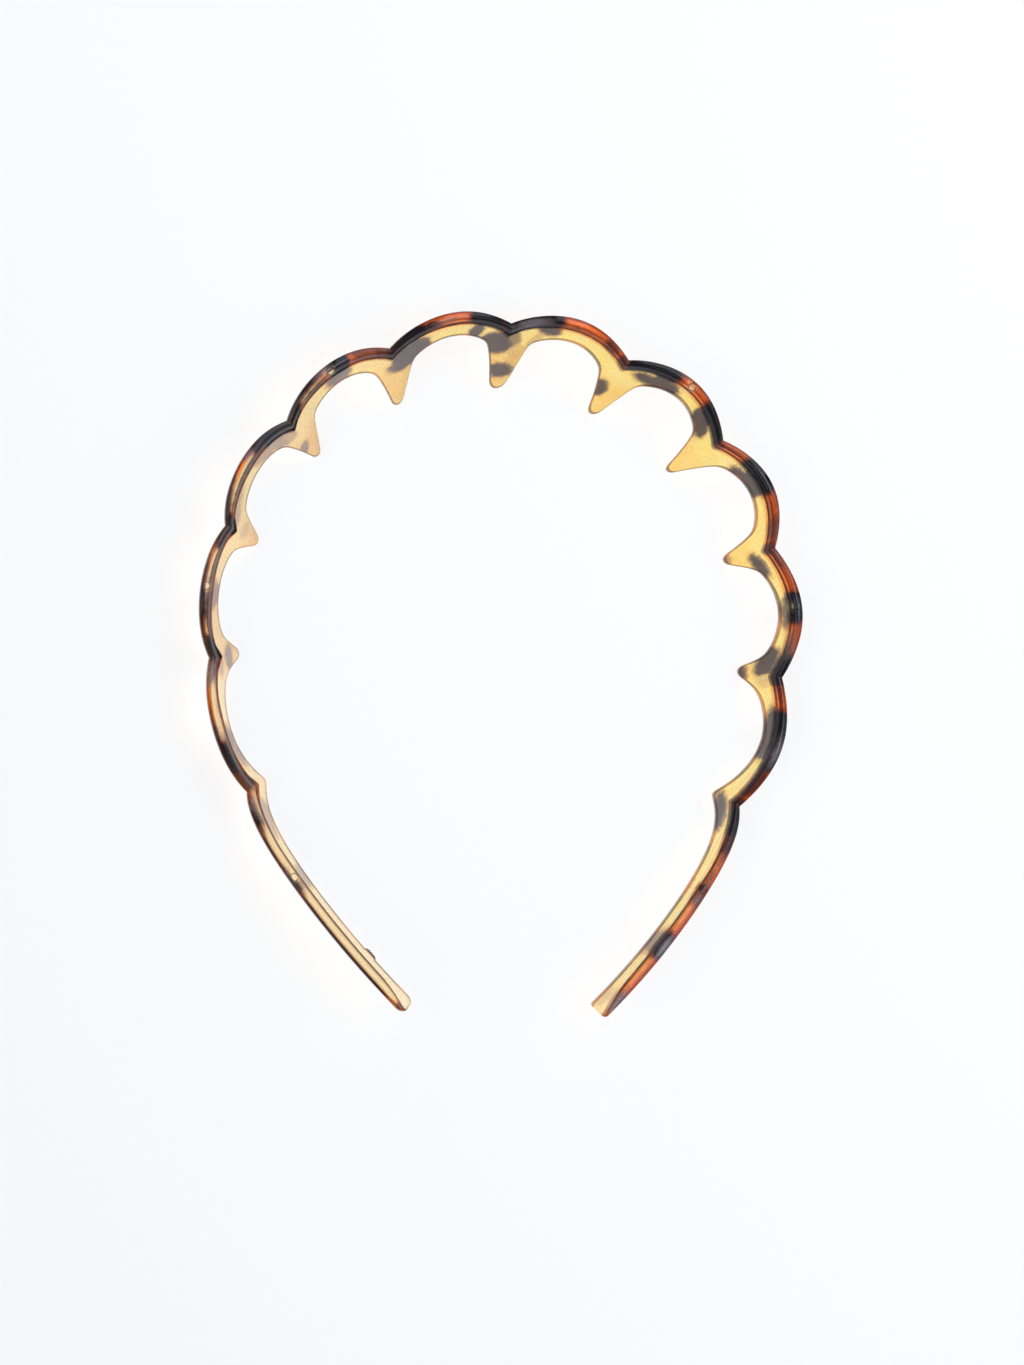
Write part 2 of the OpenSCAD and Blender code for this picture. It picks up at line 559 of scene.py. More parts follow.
@dataclass(frozen=True)
class Blotch:
    """Soft oval patch: middle, half length and half width, tilt in degrees, and depth."""

    at: float
    across: float
    half_length: float
    half_width: float
    tilt: float = 0.0
    depth: float = 1.0

    def reach(self, s: Array, across: Array, narrow: Array | bool = True) -> Array:
        """Rough distance inside the patch's edge, in millimetres, negative outside it.

        Args:
            s: signed distance along the hoop line.
            across: distance across it.
            narrow: where the patch has its own width, and not the whole width.

        Returns:
            The distance.
        """
        turn = math.radians(self.tilt)
        ds = s - self.at
        da = across - self.across
        along = (ds * math.cos(turn) + da * math.sin(turn)) / self.half_length
        wide = narrow * (da * math.cos(turn) - ds * math.sin(turn)) / self.half_width
        gap = 1.0 - np.hypot(along, wide)
        return gap * min(self.half_length, self.half_width)


@dataclass(frozen=True)
class Mottling:
    """A layer of blotches."""

    blotches: tuple[Blotch, ...]

    def read(
        self, s: Array, across: Array, narrow: Array | bool = True
    ) -> tuple[Array, Array]:
        """Field of the layer.

        Args:
            s: signed distance along the hoop line.
            across: distance across it.
            narrow: where the patches have their own width.

        Returns:
            The distance inside the nearest blotch, and that blotch's depth.
        """
        reach = np.full(np.shape(s), NO_BLOTCH)
        depth = np.zeros(np.shape(s))
        for blotch in self.blotches:
            own = blotch.reach(s, across, narrow)
            depth = np.where(own > reach, blotch.depth, depth)
            reach = np.maximum(reach, own)
        return reach, depth


@dataclass(frozen=True)
class Drift:
    """Value that changes slowly along the hoop line, given as pairs of a place and a value."""

    places: tuple[tuple[float, float], ...]

    def read(self, s: Array) -> Array:
        """Value at s."""
        at, value = zip(*self.places)
        return np.interp(s, at, value)


@dataclass(frozen=True)
class FootShade:
    """Painted shade: the rim's dark foot run on into the web, furthest in the creases at the
    notches.

    notches are pairs of a place and how far the colour reaches there, and along is how far it
    reaches between them.
    """

    notches: tuple[tuple[float, float], ...] = (
        (-135.3, 0.7), (-106.3, 0.75), (-78.4, 0.65), (-52.9, 0.5), (-26.3, 0.25), (0.0, 0.4),
    )
    half_length: float = 2.6
    along: Drift = Drift(
        ((-190.0, 0.0), (-145.0, 0.0), (-130.0, 0.25), (-40.0, 0.25), (8.0, 0.08), (30.0, 0.0))
    )

    def read(self, s: Array) -> Array:
        """How far the painted shade at the rim's foot runs into the web.

        Args:
            s: signed distance along the hoop line.

        Returns:
            The distance.
        """
        shade_run = self.along.read(s)
        for at, far in self.notches:
            gap = (s - at) / self.half_length
            shade_run = np.maximum(shade_run, far * np.exp(-gap * gap))
        return shade_run


# Share of the paler colour of the web, and of the palest above 1: partly the plastic's paler tint,
# partly a painted pale sheen, strongest down the left side
WEB_PALENESS_AND_SHEEN = Drift(
    (
        (-190.0, 1.3), (-138.0, 1.3), (-128.0, 1.6), (-112.0, 1.6), (-104.0, 1.0), (-60.0, 0.9),
        (-26.0, 0.45), (0.0, 0.2), (30.0, 0.05), (100.0, 0.05), (135.0, 0.35), (190.0, 0.6),
    )
)

# Share of the rim's width by which the painted bands of light and shade along it lie nearer its
# outer wall
LINE_SHIFT = Drift(
    (
        (-190.0, 0.06), (-147.0, 0.06), (-139.0, -0.12), (-133.0, -0.1), (-124.0, 0.02),
        (-115.0, 0.04), (-109.0, -0.04), (-103.0, 0.0), (-60.0, 0.0), (-13.0, 0.06),
        (45.0, 0.06), (70.0, 0.02), (105.0, 0.04), (120.0, 0.1), (150.0, 0.2), (158.0, 0.12),
        (176.0, 0.12), (184.0, 0.2),
    )
)

# How much wider the painted shade line along the inner edge is
EDGE_SHADE = Drift(
    (
        (-190.0, 0.05), (-138.0, 0.05), (-130.0, 0.02), (8.0, 0.0), (16.0, 0.1), (27.0, 0.08),
        (30.0, 0.22), (38.0, 0.2), (46.0, 0.05), (56.0, 0.05), (61.0, 0.12), (84.0, 0.08),
        (90.0, 0.18), (101.0, 0.18), (106.0, 0.04), (113.0, 0.14), (126.0, 0.1), (142.0, 0.05),
    )
)

# Smoky patches of the web and teeth, across from the hoop line
WEB_DARK = Mottling(
    (
        # top tooth and the webs beside it
        Blotch(-1.9, 3.9, 3.6, 1.9, -6.0),
        Blotch(0.9, 3.0, 1.8, 1.4, depth=0.7),
        Blotch(-4.6, 3.2, 2.8, 1.0, -18.0),
        Blotch(-7.6, 1.5, 1.8, 0.95, -25.0),
        Blotch(-0.6, 9.1, 3.3, 1.25),
        Blotch(2.0, 5.4, 1.6, 1.5, depth=0.22),
        # right side
        Blotch(8.2, 0.45, 2.2, 1.1),
        Blotch(5.4, 3.2, 1.8, 0.7, -45.0, 0.3),
        Blotch(24.0, 7.8, 1.85, 1.5),
        Blotch(31.8, 2.5, 2.7, 0.85, -4.0),
        Blotch(35.2, 1.9, 3.3, 1.25, -12.0),
        Blotch(35.0, 0.9, 1.9, 0.8),
        Blotch(46.2, 1.9, 2.4, 1.7, 20.0),
        Blotch(47.6, 3.0, 2.1, 1.3, 25.0),
        Blotch(63.9, 1.3, 2.9, 0.9),
        Blotch(63.6, 2.3, 2.9, 1.2),
        Blotch(61.5, 3.0, 2.8, 1.15),
        Blotch(81.3, 5.35, 2.9, 0.95, -19.0),
        Blotch(78.3, 10.8, 2.2, 0.9, depth=0.65),
        Blotch(92.6, 2.3, 3.3, 0.95, depth=0.85),
        Blotch(103.2, 5.3, 3.4, 1.5, 20.0),
        Blotch(104.4, 5.6, 1.6, 1.4),
        Blotch(106.5, 9.4, 2.4, 0.9, -5.0),
        Blotch(107.6, 5.4, 1.5, 1.0, depth=0.25),
        Blotch(117.6, 2.9, 4.6, 0.95),
        Blotch(121.9, 2.7, 2.6, 0.9),
        Blotch(137.2, 4.2, 3.0, 1.0, -22.0),
        Blotch(139.4, 3.6, 2.6, 0.75, -12.0),
        Blotch(155.8, 2.4, 2.7, 0.45, depth=0.75),
        Blotch(169.0, 0.9, 2.8, 0.6, depth=0.55),
        Blotch(169.8, 1.6, 2.5, 0.6, depth=0.8),
        Blotch(170.8, 2.2, 2.5, 0.45, depth=0.75),
        Blotch(185.2, 1.3, 2.4, 0.6, depth=0.3),
        # left side
        Blotch(-20.6, 2.7, 2.9, 1.5, -14.0),
        Blotch(-23.4, 3.9, 3.6, 1.7, -22.0),
        Blotch(-25.6, 4.9, 2.3, 0.9, -5.0, 0.9),
        Blotch(-39.2, 1.1, 2.9, 1.0, depth=0.9),
        Blotch(-53.8, 8.6, 2.0, 0.9, -25.0, 0.8),
        Blotch(-54.8, 3.9, 2.0, 1.1, 25.0, 0.5),
        Blotch(-61.0, 2.0, 3.8, 1.0, 10.0, 0.6),
        Blotch(-57.2, 3.4, 2.6, 1.0, 25.0, 0.65),
        Blotch(-74.8, 3.0, 3.0, 0.9, -22.0, 0.5),
        Blotch(-72.6, 2.2, 2.4, 0.6, -12.0, 0.5),
        Blotch(-77.8, 6.6, 1.8, 0.8, depth=0.3),
        Blotch(-93.2, 2.6, 2.7, 1.0, depth=0.75),
        Blotch(-106.4, 7.0, 2.6, 0.9, depth=0.8),
        Blotch(-108.0, 4.8, 2.2, 0.6, depth=0.5),
        Blotch(-123.8, 2.5, 2.6, 0.8, depth=0.8),
        Blotch(-127.0, 3.1, 3.0, 0.6, -12.0, 0.65),
        Blotch(-140.6, 2.6, 3.0, 0.8, 10.0, 0.55),
        Blotch(-143.4, 2.0, 2.4, 0.45, 6.0, 0.5),
        Blotch(-155.2, 1.35, 2.3, 0.75, depth=0.55),
    )
)

# Fine lines along the web of the right leg
WEB_LINES = Mottling(
    (
        Blotch(147.0, 1.9, 7.0, 0.13, -1.8, 0.4),
        Blotch(169.5, 1.6, 16.5, 0.13, depth=0.45),
        Blotch(169.0, 1.05, 16.0, 0.12, depth=0.3),
    )
)

# Black patches of the rim, across from its outer edge; the ones right at the notches also paint
# shade into the mitre creases
RIM_DARK = Mottling(
    (
        # right side, from the top notch down
        Blotch(0.0, 1.25, 1.7, 1.8),
        Blotch(3.6, 1.2, 4.2, 2.1),
        Blotch(8.0, 1.2, 2.7, 1.6),
        Blotch(12.9, 1.85, 5.2, 0.22),
        Blotch(21.6, 1.3, 1.9, 0.95, depth=0.75),
        Blotch(25.8, 1.5, 1.6, 1.6, depth=0.75),
        Blotch(31.6, 1.3, 6.0, 2.4),
        Blotch(48.8, 1.3, 4.6, 2.4),
        Blotch(53.2, 1.9, 1.2, 1.0, depth=0.7),
        Blotch(63.0, 1.3, 4.4, 2.4),
        Blotch(74.4, 1.2, 2.4, 1.2, depth=0.6),
        Blotch(78.2, 1.6, 1.4, 1.4, depth=0.8),
        Blotch(81.2, 0.5, 2.2, 0.5, depth=0.5),
        Blotch(91.4, 1.3, 3.6, 2.2),
        Blotch(89.4, 1.0, 1.8, 0.7, depth=0.7),
        Blotch(103.9, 1.2, 2.9, 2.2),
        Blotch(101.0, 2.0, 3.4, 0.5),
        Blotch(106.9, 1.3, 1.6, 1.9, depth=0.95),
        Blotch(108.0, 0.9, 1.6, 0.8, depth=0.6),
        Blotch(117.4, 1.3, 4.4, 2.4),
        Blotch(123.0, 1.5, 4.4, 2.0),
        Blotch(129.4, 1.4, 4.7, 1.2, depth=0.85),
        Blotch(134.9, 1.3, 1.5, 1.9, depth=0.9),
        Blotch(138.9, 1.2, 3.4, 2.1),
        Blotch(143.4, 0.7, 2.8, 0.9, depth=0.9),
        Blotch(154.6, 1.25, 1.1, 0.9, depth=0.85),
        Blotch(156.6, 0.9, 2.0, 0.9, depth=0.65),
        Blotch(169.2, 1.1, 3.4, 1.6),
        Blotch(184.6, 0.7, 2.8, 0.9, depth=0.5),
        # left side, from the top notch down
        Blotch(-5.0, 1.2, 4.2, 2.1),
        Blotch(-13.4, 1.3, 2.2, 0.3, depth=0.5),
        Blotch(-17.6, 1.4, 2.8, 0.8),
        Blotch(-22.0, 1.4, 4.6, 1.6),
        Blotch(-25.6, 1.5, 2.2, 1.7, depth=0.95),
        Blotch(-28.8, 1.4, 1.9, 1.3, depth=0.75),
        Blotch(-30.9, 1.2, 1.9, 1.6, depth=0.6),
        Blotch(-33.0, 0.5, 2.2, 0.6, depth=0.7),
        Blotch(-32.4, 1.7, 3.0, 0.5, depth=0.7),
        Blotch(-38.4, 1.2, 2.9, 2.3),
        Blotch(-46.8, 0.35, 5.4, 0.8, depth=0.85),
        Blotch(-51.6, 1.3, 2.9, 2.0),
        Blotch(-57.0, 1.2, 4.3, 2.1),
        Blotch(-60.2, 1.0, 2.9, 1.3, depth=0.95),
        Blotch(-75.6, 0.35, 4.0, 0.75),
        Blotch(-78.0, 1.5, 2.2, 1.7),
        Blotch(-81.0, 1.0, 2.6, 1.1, depth=0.97),
        Blotch(-79.2, 0.3, 2.6, 1.0),
        Blotch(-95.2, 0.3, 5.2, 0.78),
        Blotch(-94.0, 1.9, 4.0, 0.5, depth=0.9),
        Blotch(-103.2, 0.5, 2.2, 0.8, depth=0.9),
        Blotch(-104.6, 1.2, 3.0, 2.0),
        Blotch(-108.2, 1.5, 2.0, 1.1, depth=0.85),
        Blotch(-121.8, 0.2, 2.6, 0.5),
        Blotch(-127.6, 0.7, 4.8, 1.15),
        Blotch(-129.0, 1.2, 2.2, 0.5, depth=0.8),
        Blotch(-132.8, 1.3, 2.6, 1.8, depth=0.8),
        Blotch(-139.9, 0.6, 3.4, 0.75),
        Blotch(-141.6, 1.4, 1.0, 0.45, depth=0.6),
        Blotch(-154.2, 0.2, 3.2, 0.55),
        Blotch(-156.0, 0.6, 1.6, 0.55),
        Blotch(-187.4, 1.1, 1.3, 1.6, depth=0.6),
    )
)

# Painted shade: dark lines along the front of the rim, where its bead bends the light away
RIM_LINES = Mottling(
    (
        Blotch(56.0, 1.5, 4.0, 0.35, depth=0.85),
        Blotch(69.0, 1.9, 3.8, 0.4, depth=0.7),
        Blotch(80.6, 1.45, 3.0, 0.4, depth=0.85),
        Blotch(98.4, 1.75, 3.4, 0.35, depth=0.8),
        Blotch(110.2, 1.4, 2.8, 0.4, depth=0.75),
        Blotch(40.8, 1.35, 2.8, 0.25, depth=0.45),
        Blotch(129.4, 1.75, 4.6, 0.4, depth=0.8),
        Blotch(146.6, 1.2, 3.6, 0.45, depth=0.7),
        Blotch(152.4, 1.25, 3.4, 0.45, depth=0.85),
        Blotch(-45.0, 0.4, 7.5, 0.5, depth=0.85),
        Blotch(-44.8, 1.9, 4.4, 0.35),
        Blotch(-68.0, 1.85, 9.5, 0.42),
        Blotch(-73.0, 0.2, 5.5, 0.5, depth=0.95),
        Blotch(-86.0, 1.85, 8.5, 0.42),
        Blotch(-87.0, 0.0, 8.0, 0.25, depth=0.8),
        Blotch(-99.0, 0.2, 6.0, 0.4, depth=0.9),
        Blotch(-99.0, 1.85, 6.5, 0.5),
        Blotch(-110.0, 2.3, 3.5, 0.2, depth=0.5),
        Blotch(-129.0, 1.95, 6.5, 0.5, depth=0.9),
    )
)

# Patches of the rim where a lilac sheen, a reflection of the lamps, is painted into the colour
RIM_PAINTED_SHEEN = Mottling(
    (
        # right side
        Blotch(4.4, 1.2, 4.2, 0.8, depth=0.8),
        Blotch(98.6, 1.6, 3.4, 0.3, depth=0.7),
        Blotch(100.6, 0.6, 2.6, 0.5, depth=0.45),
        Blotch(74.6, 0.6, 2.2, 0.5, depth=0.55),
        Blotch(122.4, 0.8, 4.0, 0.8, depth=0.75),
        Blotch(157.2, 1.0, 1.8, 0.7, depth=0.7),
        Blotch(169.2, 0.7, 3.2, 0.8),
        Blotch(184.4, 0.7, 3.0, 0.8, depth=0.9),
        # left side
        Blotch(-14.4, 1.25, 3.2, 0.45, depth=0.75),
        Blotch(-42.2, 0.5, 1.8, 0.6, depth=0.8),
        Blotch(-64.0, 0.45, 1.7, 0.7, depth=0.9),
        Blotch(-87.4, 0.3, 3.4, 0.5),
        Blotch(-109.6, 0.6, 3.0, 1.0),
        Blotch(-137.8, 0.8, 2.4, 0.6, depth=0.7),
    )
)

# Clear stretches of the rim, where the bead's profile paints a streak of light through it
RIM_PALE = Mottling(
    (
        Blotch(149.5, 1.45, 6.0, 0.3, depth=0.8),
        Blotch(99.0, 0.75, 2.8, 0.4, depth=0.5),
        Blotch(161.4, 1.42, 5.6, 0.34),
        Blotch(177.0, 1.4, 6.4, 0.36),
        Blotch(-46.2, 1.3, 4.2, 0.4, depth=0.9),
        Blotch(-68.4, 1.4, 6.8, 0.35),
        Blotch(-73.4, 1.2, 3.0, 0.4),
        Blotch(-85.6, 1.4, 4.6, 0.36),
        Blotch(-89.4, 1.1, 2.2, 0.75, depth=0.9),
        Blotch(-94.0, 1.3, 3.8, 0.4, depth=0.75),
        Blotch(-100.0, 1.3, 2.4, 0.42, depth=0.85),
        Blotch(-113.6, 1.25, 4.0, 0.6),
        Blotch(-120.0, 1.3, 5.2, 0.6),
        Blotch(-125.6, 1.5, 3.4, 0.35, depth=0.8),
        Blotch(-135.4, 1.8, 2.8, 0.7, depth=0.9),
        Blotch(-140.0, 1.85, 3.6, 0.65),
        Blotch(-164.2, 1.25, 22.4, 3.0),
    )
)


# Finishes


@dataclass
class Graph:
    """Short words for building one material's nodes."""

    name: str

    def __post_init__(self) -> None:
        """Make an empty material with its output."""
        self.material = bpy.data.materials.new(self.name)
        self.material.use_nodes = True
        self.nodes = self.material.node_tree.nodes
        self.links = self.material.node_tree.links
        self.nodes.clear()
        self.output = self.nodes.new("ShaderNodeOutputMaterial")

    def feed(self, socket: Socket, value: Value) -> None:
        """Link a socket to another, or set its value.

        Args:
            socket: the socket that is fed.
            value: another socket, a number, a vector or a colour.
        """
        if isinstance(value, Socket):
            self.links.new(value, socket)
        elif isinstance(value, tuple) and socket.type == "RGBA":
            socket.default_value = (*value, 1.0)
        else:
            socket.default_value = value

    def named(self, kind: str, output: str, **sockets: Value) -> Socket:
        """Make a node whose inputs have plain names.

        Args:
            kind: Blender's name for the kind of node.
            output: name of the output that is wanted.
            sockets: value of each input, with an underscore for a space in its name.

        Returns:
            That output.
        """
        node = self.nodes.new(kind)
        for name, value in sockets.items():
            self.feed(node.inputs[name.replace("_", " ")], value)
        return node.outputs[output]

    def stored(self, name: str, output: str = "Fac") -> Socket:
        """Value stored on the mesh.

        Args:
            name: name of the field.
            output: "Fac" for a number, or "Vector".

        Returns:
            The value.
        """
        socket = self.named("ShaderNodeAttribute", output)
        socket.node.attribute_name = name
        return socket

    def math(self, operation: str, *values: Value) -> Socket:
        """Make one math node.

        Args:
            operation: Blender's name for the operation.
            values: its inputs in order.

        Returns:
            The result.
        """
        node = self.nodes.new("ShaderNodeMath")
        node.operation = operation
        for socket, value in zip(node.inputs, values):
            self.feed(socket, value)
        return node.outputs[0]

    def plus(self, first: Value, second: Value) -> Socket:
        """Sum of two values."""
        return self.math("ADD", first, second)

    def minus(self, first: Value, second: Value) -> Socket:
        """First value less the second."""
        return self.math("SUBTRACT", first, second)

    def times(self, first: Value, second: Value) -> Socket:
        """Product of two values."""
        return self.math("MULTIPLY", first, second)

    def line(self, value: Value, factor: float, offset: Value) -> Socket:
        """Value times a factor, plus an offset."""
        return self.math("MULTIPLY_ADD", value, factor, offset)

    def span(self, value: Value, low: float, high: float, kind: str = "LINEAR") -> Socket:
        """Step from 0 at low to 1 at high.

        Args:
            value: where it is read.
            low: value at which the step starts.
            high: value at which it is complete.
            kind: Blender's name for the way between them.

        Returns:
            The step's height.
        """
        sockets = {"Value": value, "From_Min": low, "From_Max": high}
        height = self.named("ShaderNodeMapRange", "Result", **sockets)
        height.node.interpolation_type = kind
        return height

    def ramp(self, value: Value, stops: tuple[tuple[float, Colour], ...]) -> Socket:
        """Colour ramp.

        Args:
            value: place on the ramp, between 0 and 1.
            stops: pairs of a place and a colour, in order.

        Returns:
            The colour at the value.
        """
        colour_at = self.named("ShaderNodeValToRGB", "Color", Fac=value)
        elements = colour_at.node.color_ramp.elements
        while len(elements) < len(stops):
            elements.new(NEW_STOP)
        for element, (place, colour) in zip(elements, stops):
            element.position = place
            element.color = (*colour, 1.0)
        return colour_at

    def mix(self, share: Value, first: Value, second: Value, kind: str = "MIX") -> Socket:
        """Mix two colours.

        Args:
            share: how much of the second colour there is.
            first: colour at 0.
            second: colour at 1.
            kind: Blender's name for the way they are mixed.

        Returns:
            The mixed colour.
        """
        node = self.nodes.new("ShaderNodeMix")
        node.data_type = "RGBA"
        node.blend_type = kind
        self.feed(node.inputs[0], share)
        self.feed(node.inputs[MIX_FIRST], first)
        self.feed(node.inputs[MIX_SECOND], second)
        return node.outputs[MIX_RESULT]

    def filtered(self, tint: Value, through: Value) -> Socket:
        """Colour that is left of one tint after another."""
        return self.mix(1.0, tint, through, "MULTIPLY")

    def grey(self, value: Socket) -> Socket:
        """Grey of a given value."""
        return self.named("ShaderNodeCombineColor", "Color", Red=value, Green=value, Blue=value)

    def absorb(self, colour: Colour, density: float) -> None:
        """Body colour that deepens with the way light goes through the plastic."""
        body = self.named("ShaderNodeVolumeAbsorption", "Volume", Color=colour, Density=density)
        self.links.new(body, self.output.inputs["Volume"])

    def plastic(self, **sockets: Value) -> None:
        """Principled shader with the given sockets, joined to the output."""
        surface = self.named("ShaderNodeBsdfPrincipled", "BSDF", **sockets)
        self.links.new(surface, self.output.inputs["Surface"])


@dataclass(frozen=True)
class Grain:
    """Noise in the plastic: features to a millimetre along and across, octaves, their weight."""

    along: float
    across: float
    detail: float = 3.0
    rough: float = 0.55

    def read(self, g: Graph) -> Socket:
        """Make the noise.

        Args:
            g: the material's graph.

        Returns:
            Its value, between 0 and 1.
        """
        stretched = g.nodes.new("ShaderNodeVectorMath")
        stretched.operation = "MULTIPLY"
        g.feed(stretched.inputs[0], g.stored("flow", "Vector"))
        g.feed(stretched.inputs[1], (self.along, self.across, 1.0))
        sockets = {"Scale": 1.0, "Detail": self.detail, "Roughness": self.rough}
        return g.named("ShaderNodeTexNoise", "Fac", Vector=stretched.outputs[0], **sockets)


@dataclass(frozen=True)
class Line:
    """Straight change of a value: factor and offset."""

    factor: float
    offset: float

    def read(self, g: Graph, value: Value) -> Socket:
        """The changed value."""
        return g.line(value, self.factor, self.offset)


@dataclass(frozen=True)
class Fade:
    """Soft step of a value from 0 at low to 1 at high."""

    low: float
    high: float

    def read(self, g: Graph, value: Value) -> Socket:
        """The step's height."""
        return g.span(value, self.low, self.high, "SMOOTHSTEP")

    def stain(self, g: Graph, reach: Value, layer: Layer) -> Socket:
        """The step's height over a layer's reach, times the layer's depth."""
        return g.times(self.read(g, reach), g.stored(layer.depth))


@dataclass(frozen=True)
class Profile:
    """Colours across the rim, from the back of its outer wall to its foot on the web, with painted
    light and shade.
    """

    stops: tuple[tuple[float, Colour], ...]
    low: float = -0.45
    high: float = 1.2

    def read(self, g: Graph, place: Socket) -> Socket:
        """Colour at a share of the rim's width."""
        scaled = tuple(((at - self.low) / (self.high - self.low), tint) for at, tint in self.stops)
        return g.ramp(g.span(place, self.low, self.high), scaled)


@dataclass(frozen=True)
class WebStain:
    """Tints of the web and teeth: smoky patches, painted shade along the inner edge and on the
    teeth, painted glow and sheen.

    The tints are what a pass through the moulding leaves of the light, before the body colour.
    """

    honey: Colour = (1.0, 0.755, 0.24)
    straw: Colour = (1.0, 0.815, 0.375)
    cloud: Grain = Grain(0.22, 0.5)
    cloud_fade: Fade = Fade(0.3, 0.7)
    peach: Colour = (0.84, 0.72, 0.535)
    pearl: Colour = (1.0, 0.92, 0.75)
    painted_edge_glow: Colour = (1.0, 0.86, 0.36)
    glow_start: Fade = Fade(0.2, 0.5)
    glow_end: Fade = Fade(0.6, 1.3)
    glow_full: float = 0.75
    glow_lost: float = 0.55
    # Painted shade that darkens the teeth
    tooth_shade: Colour = (0.95, 0.86, 0.8)
    tooth_start: Fade = Fade(2.2, 5.2)
    speck: Line = Line(1.5, 0.37)
    wobble: Grain = Grain(0.9, 1.3, 2.0)
    wobble_range: Line = Line(0.9, -0.45)
    dust: Line = Line(0.5, -0.25)
    halo: Colour = (0.7, 0.44, 0.2)
    halo_fade: Fade = Fade(-0.6, 0.0)
    halo_most: float = 0.6
    smoke: Colour = (0.125, 0.105, 0.09)
    # Smoke under a painted bluish sheen, on the paler side
    smoke_under_sheen: Colour = (0.33, 0.34, 0.46)
    smoke_fade: Fade = Fade(-0.3, 0.15)
    brown: Colour = BROWN
    thin_fade: Fade = Fade(-0.04, 0.1)
    edge_shade_grey: Colour = (0.06, 0.04, 0.04)
    edge_shade_red: Colour = (0.5, 0.1, 0.03)
    edge_change: Grain = Grain(0.12, 0.0, 1.0)
    edge_change_fade: Fade = Fade(0.45, 0.6)
    edge_shade_red_most: float = 0.7
    edge_fade: Fade = Fade(0.16, 0.46)
    edge_most: float = 0.95

    def clear_tint(self, g: Graph, grain: Socket) -> Socket:
        """Tint of the web where it has no patches, with a painted glow near the inner edge and
        painted shade on the teeth.

        Args:
            g: the material's graph.
            grain: fine noise of the plastic.

        Returns:
            The tint.
        """
        pale = g.stored("paleness_and_sheen")
        gap = g.stored("edge_gap")
        cloud = self.cloud_fade.read(g, self.cloud.read(g))
        tint = g.mix(cloud, self.honey, self.straw)
        # Paler peach and pearl: partly the plastic's tint, partly a painted sheen
        tint = g.mix(pale, tint, self.peach)
        tint = g.mix(g.minus(pale, 1.0), tint, self.pearl)
        # Painted glow: a brighter yellow band painted a little inside the inner edge
        near_edge = g.minus(self.glow_start.read(g, gap), self.glow_end.read(g, gap))
        strength = g.minus(self.glow_full, g.times(pale, self.glow_lost))
        tint = g.mix(g.times(near_edge, strength), tint, self.painted_edge_glow)
        # Painted shade: the teeth are painted darker, further from the rim
        on_tooth = self.tooth_start.read(g, g.stored("past_foot"))
        tint = g.mix(on_tooth, tint, g.filtered(tint, self.tooth_shade))
        return g.filtered(tint, g.grey(self.speck.read(g, grain)))

    def tint(self, g: Graph, grain: Socket) -> Socket:
        """Tint of the web with its patches, fine lines and painted shade line along the edge.

        Args:
            g: the material's graph.
            grain: fine noise of the plastic.

        Returns:
            The tint.
        """
        tint = self.clear_tint(g, grain)
        wobble = self.wobble_range.read(g, self.wobble.read(g))
        reach = g.plus(g.stored(Layer.WEB_DARK.reach), wobble)
        reach = g.plus(reach, self.dust.read(g, grain))
        halo = g.times(self.halo_fade.stain(g, reach, Layer.WEB_DARK), self.halo_most)
        tint = g.mix(halo, tint, self.halo)
        # Where the web is paler, its smoke takes a painted bluish sheen
        smoke = g.mix(g.stored("paleness_and_sheen"), self.smoke, self.smoke_under_sheen)
        tint = g.mix(self.smoke_fade.stain(g, reach, Layer.WEB_DARK), tint, smoke)
        thin = self.thin_fade.stain(g, g.stored(Layer.WEB_LINES.reach), Layer.WEB_LINES)
        tint = g.mix(thin, tint, self.brown)
        # Painted shade: a dark grey or red line along the inner edge, where the rounded edge bends
        # the light away
        reddish = self.edge_change_fade.read(g, self.edge_change.read(g))
        line = g.mix(g.times(reddish, self.edge_shade_red_most), self.edge_shade_grey, self.edge_shade_red)
        on_edge_shade = g.minus(1.0, self.edge_fade.read(g, g.stored("edge_gap")))
        return g.mix(g.times(on_edge_shade, self.edge_most), tint, line)


